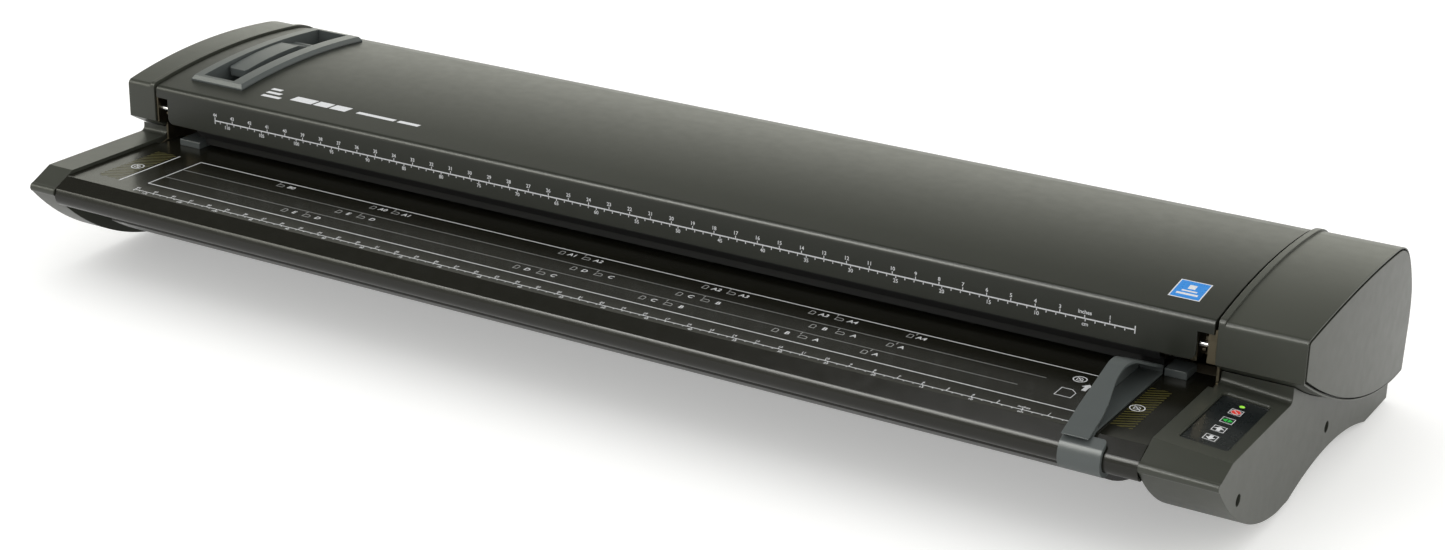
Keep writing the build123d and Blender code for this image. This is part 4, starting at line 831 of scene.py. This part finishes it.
sky_ramp = sky.nodes.new("ShaderNodeValToRGB")
sky_rays = sky.nodes.new("ShaderNodeLightPath")
sky_front = sky.nodes.new("ShaderNodeMapRange")
sky_level = sky.nodes.new("ShaderNodeVectorMath")
sky_mix = sky.nodes.new("ShaderNodeMix")
sky_mix.data_type = "RGBA"
sky_mix.inputs["A"].default_value = (1.0, 1.0, 0.985, 1.0)
while len(sky_ramp.color_ramp.elements) < len(SKY):
    sky_ramp.color_ramp.elements.new(1.0)
for element, (place, level) in zip(sky_ramp.color_ramp.elements, SKY):
    element.position = place
    element.color = (*shade(SKY_TINT, level), 1.0)
sky.links.new(sky.nodes.new("ShaderNodeTexCoord").outputs["Generated"], sky_height.inputs[0])
sky.links.new(sky_height.outputs["Z"], sky_ramp.inputs["Fac"])
sky_front.inputs["From Min"].default_value = -0.5
sky_front.inputs["From Max"].default_value = 0.3
sky_front.inputs["To Min"].default_value = FRONT_SKY
sky_level.operation = "SCALE"
sky.links.new(sky_height.outputs["Y"], sky_front.inputs["Value"])
sky.links.new(sky_ramp.outputs["Color"], sky_level.inputs[0])
sky.links.new(sky_front.outputs["Result"], sky_level.inputs["Scale"])
sky.links.new(sky_level.outputs["Vector"], sky_mix.inputs["B"])
sky.links.new(sky_rays.outputs["Is Glossy Ray"], sky_mix.inputs["Factor"])
sky.links.new(sky_mix.outputs["Result"], sky.nodes["Background"].inputs["Color"])
sky.nodes["Background"].inputs["Strength"].default_value = SKY_STRENGTH


def softbox(name, place, target, size, level, colour=(1, 1, 1), diffuse=True):
    """A rectangular studio light aimed at a point; level is how bright its face looks."""
    data = bpy.data.lights.new(name, "AREA")
    data.shape = "RECTANGLE"
    data.size, data.size_y = size
    data.energy = level * pi * size[0] * size[1]
    data.color = colour
    lamp = bpy.data.objects.new(name, data)
    bpy.context.scene.collection.objects.link(lamp)
    lamp.location = place
    aim = Vector(target) - Vector(place)
    lamp.rotation_euler = aim.to_track_quat("-Z", "Y").to_euler()
    lamp.visible_diffuse = diffuse
    return lamp


# Two panels in front light the rounded creases, the far one dimmer and greener; one overhead lights the
# right-hand brow. They show only in reflections. The other three are soft fill.
softbox(
    "crease_light", (-0.7, -1.8, 1.75), (0.0, -0.2, 0.1), size=(1.7, 1.2), level=13.0,
    colour=(1.0, 1.0, 0.95), diffuse=False,
)
softbox(
    "far_light", (-2.25, -1.8, 1.75), (-0.6, -0.2, 0.1), size=(1.3, 1.1), level=6.0,
    colour=(1.0, 1.0, 0.88), diffuse=False,
)
softbox(
    "right_light", (3.0, 0.2, 1.2), (0.5, 0, 0.1), size=(1.2, 1.2), level=1.2, colour=(1.0, 0.95, 0.82),
)
softbox("key_light", (-0.8, -1.6, 2.8), (0, 0, 0.1), size=(1.6, 1.2), level=1.2)
softbox("brow_light", (-0.25, -0.6, 2.3), (0.4, -0.2, 0.1), size=(0.9, 0.6), level=6.0, diffuse=False)
softbox("rear_light", (2.2, 2.6, 1.3), (0, 0.1, 0.1), size=(1.6, 1.0), level=0.8)

CAMERA_PLACE = (1.3351, -2.2038, 1.0676)
CAMERA_YAW = radians(30.382)
CAMERA_PITCH = radians(21.138)
CAMERA_ROLL = radians(1.3225)
FOCAL = 64.37
camera_data = bpy.data.cameras.new("camera")
camera_data.sensor_width = 36.0
camera_data.lens = FOCAL
camera = bpy.data.objects.new("camera", camera_data)
bpy.context.scene.collection.objects.link(camera)
turn = (
    Matrix.Rotation(CAMERA_YAW, 4, "Z")
    @ Matrix.Rotation(pi / 2 - CAMERA_PITCH, 4, "X")
    @ Matrix.Rotation(CAMERA_ROLL, 4, "Z")
)
camera.matrix_world = Matrix.Translation(CAMERA_PLACE) @ turn
bpy.context.scene.camera = camera

bpy.context.scene.view_settings.view_transform = "Standard"

low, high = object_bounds()
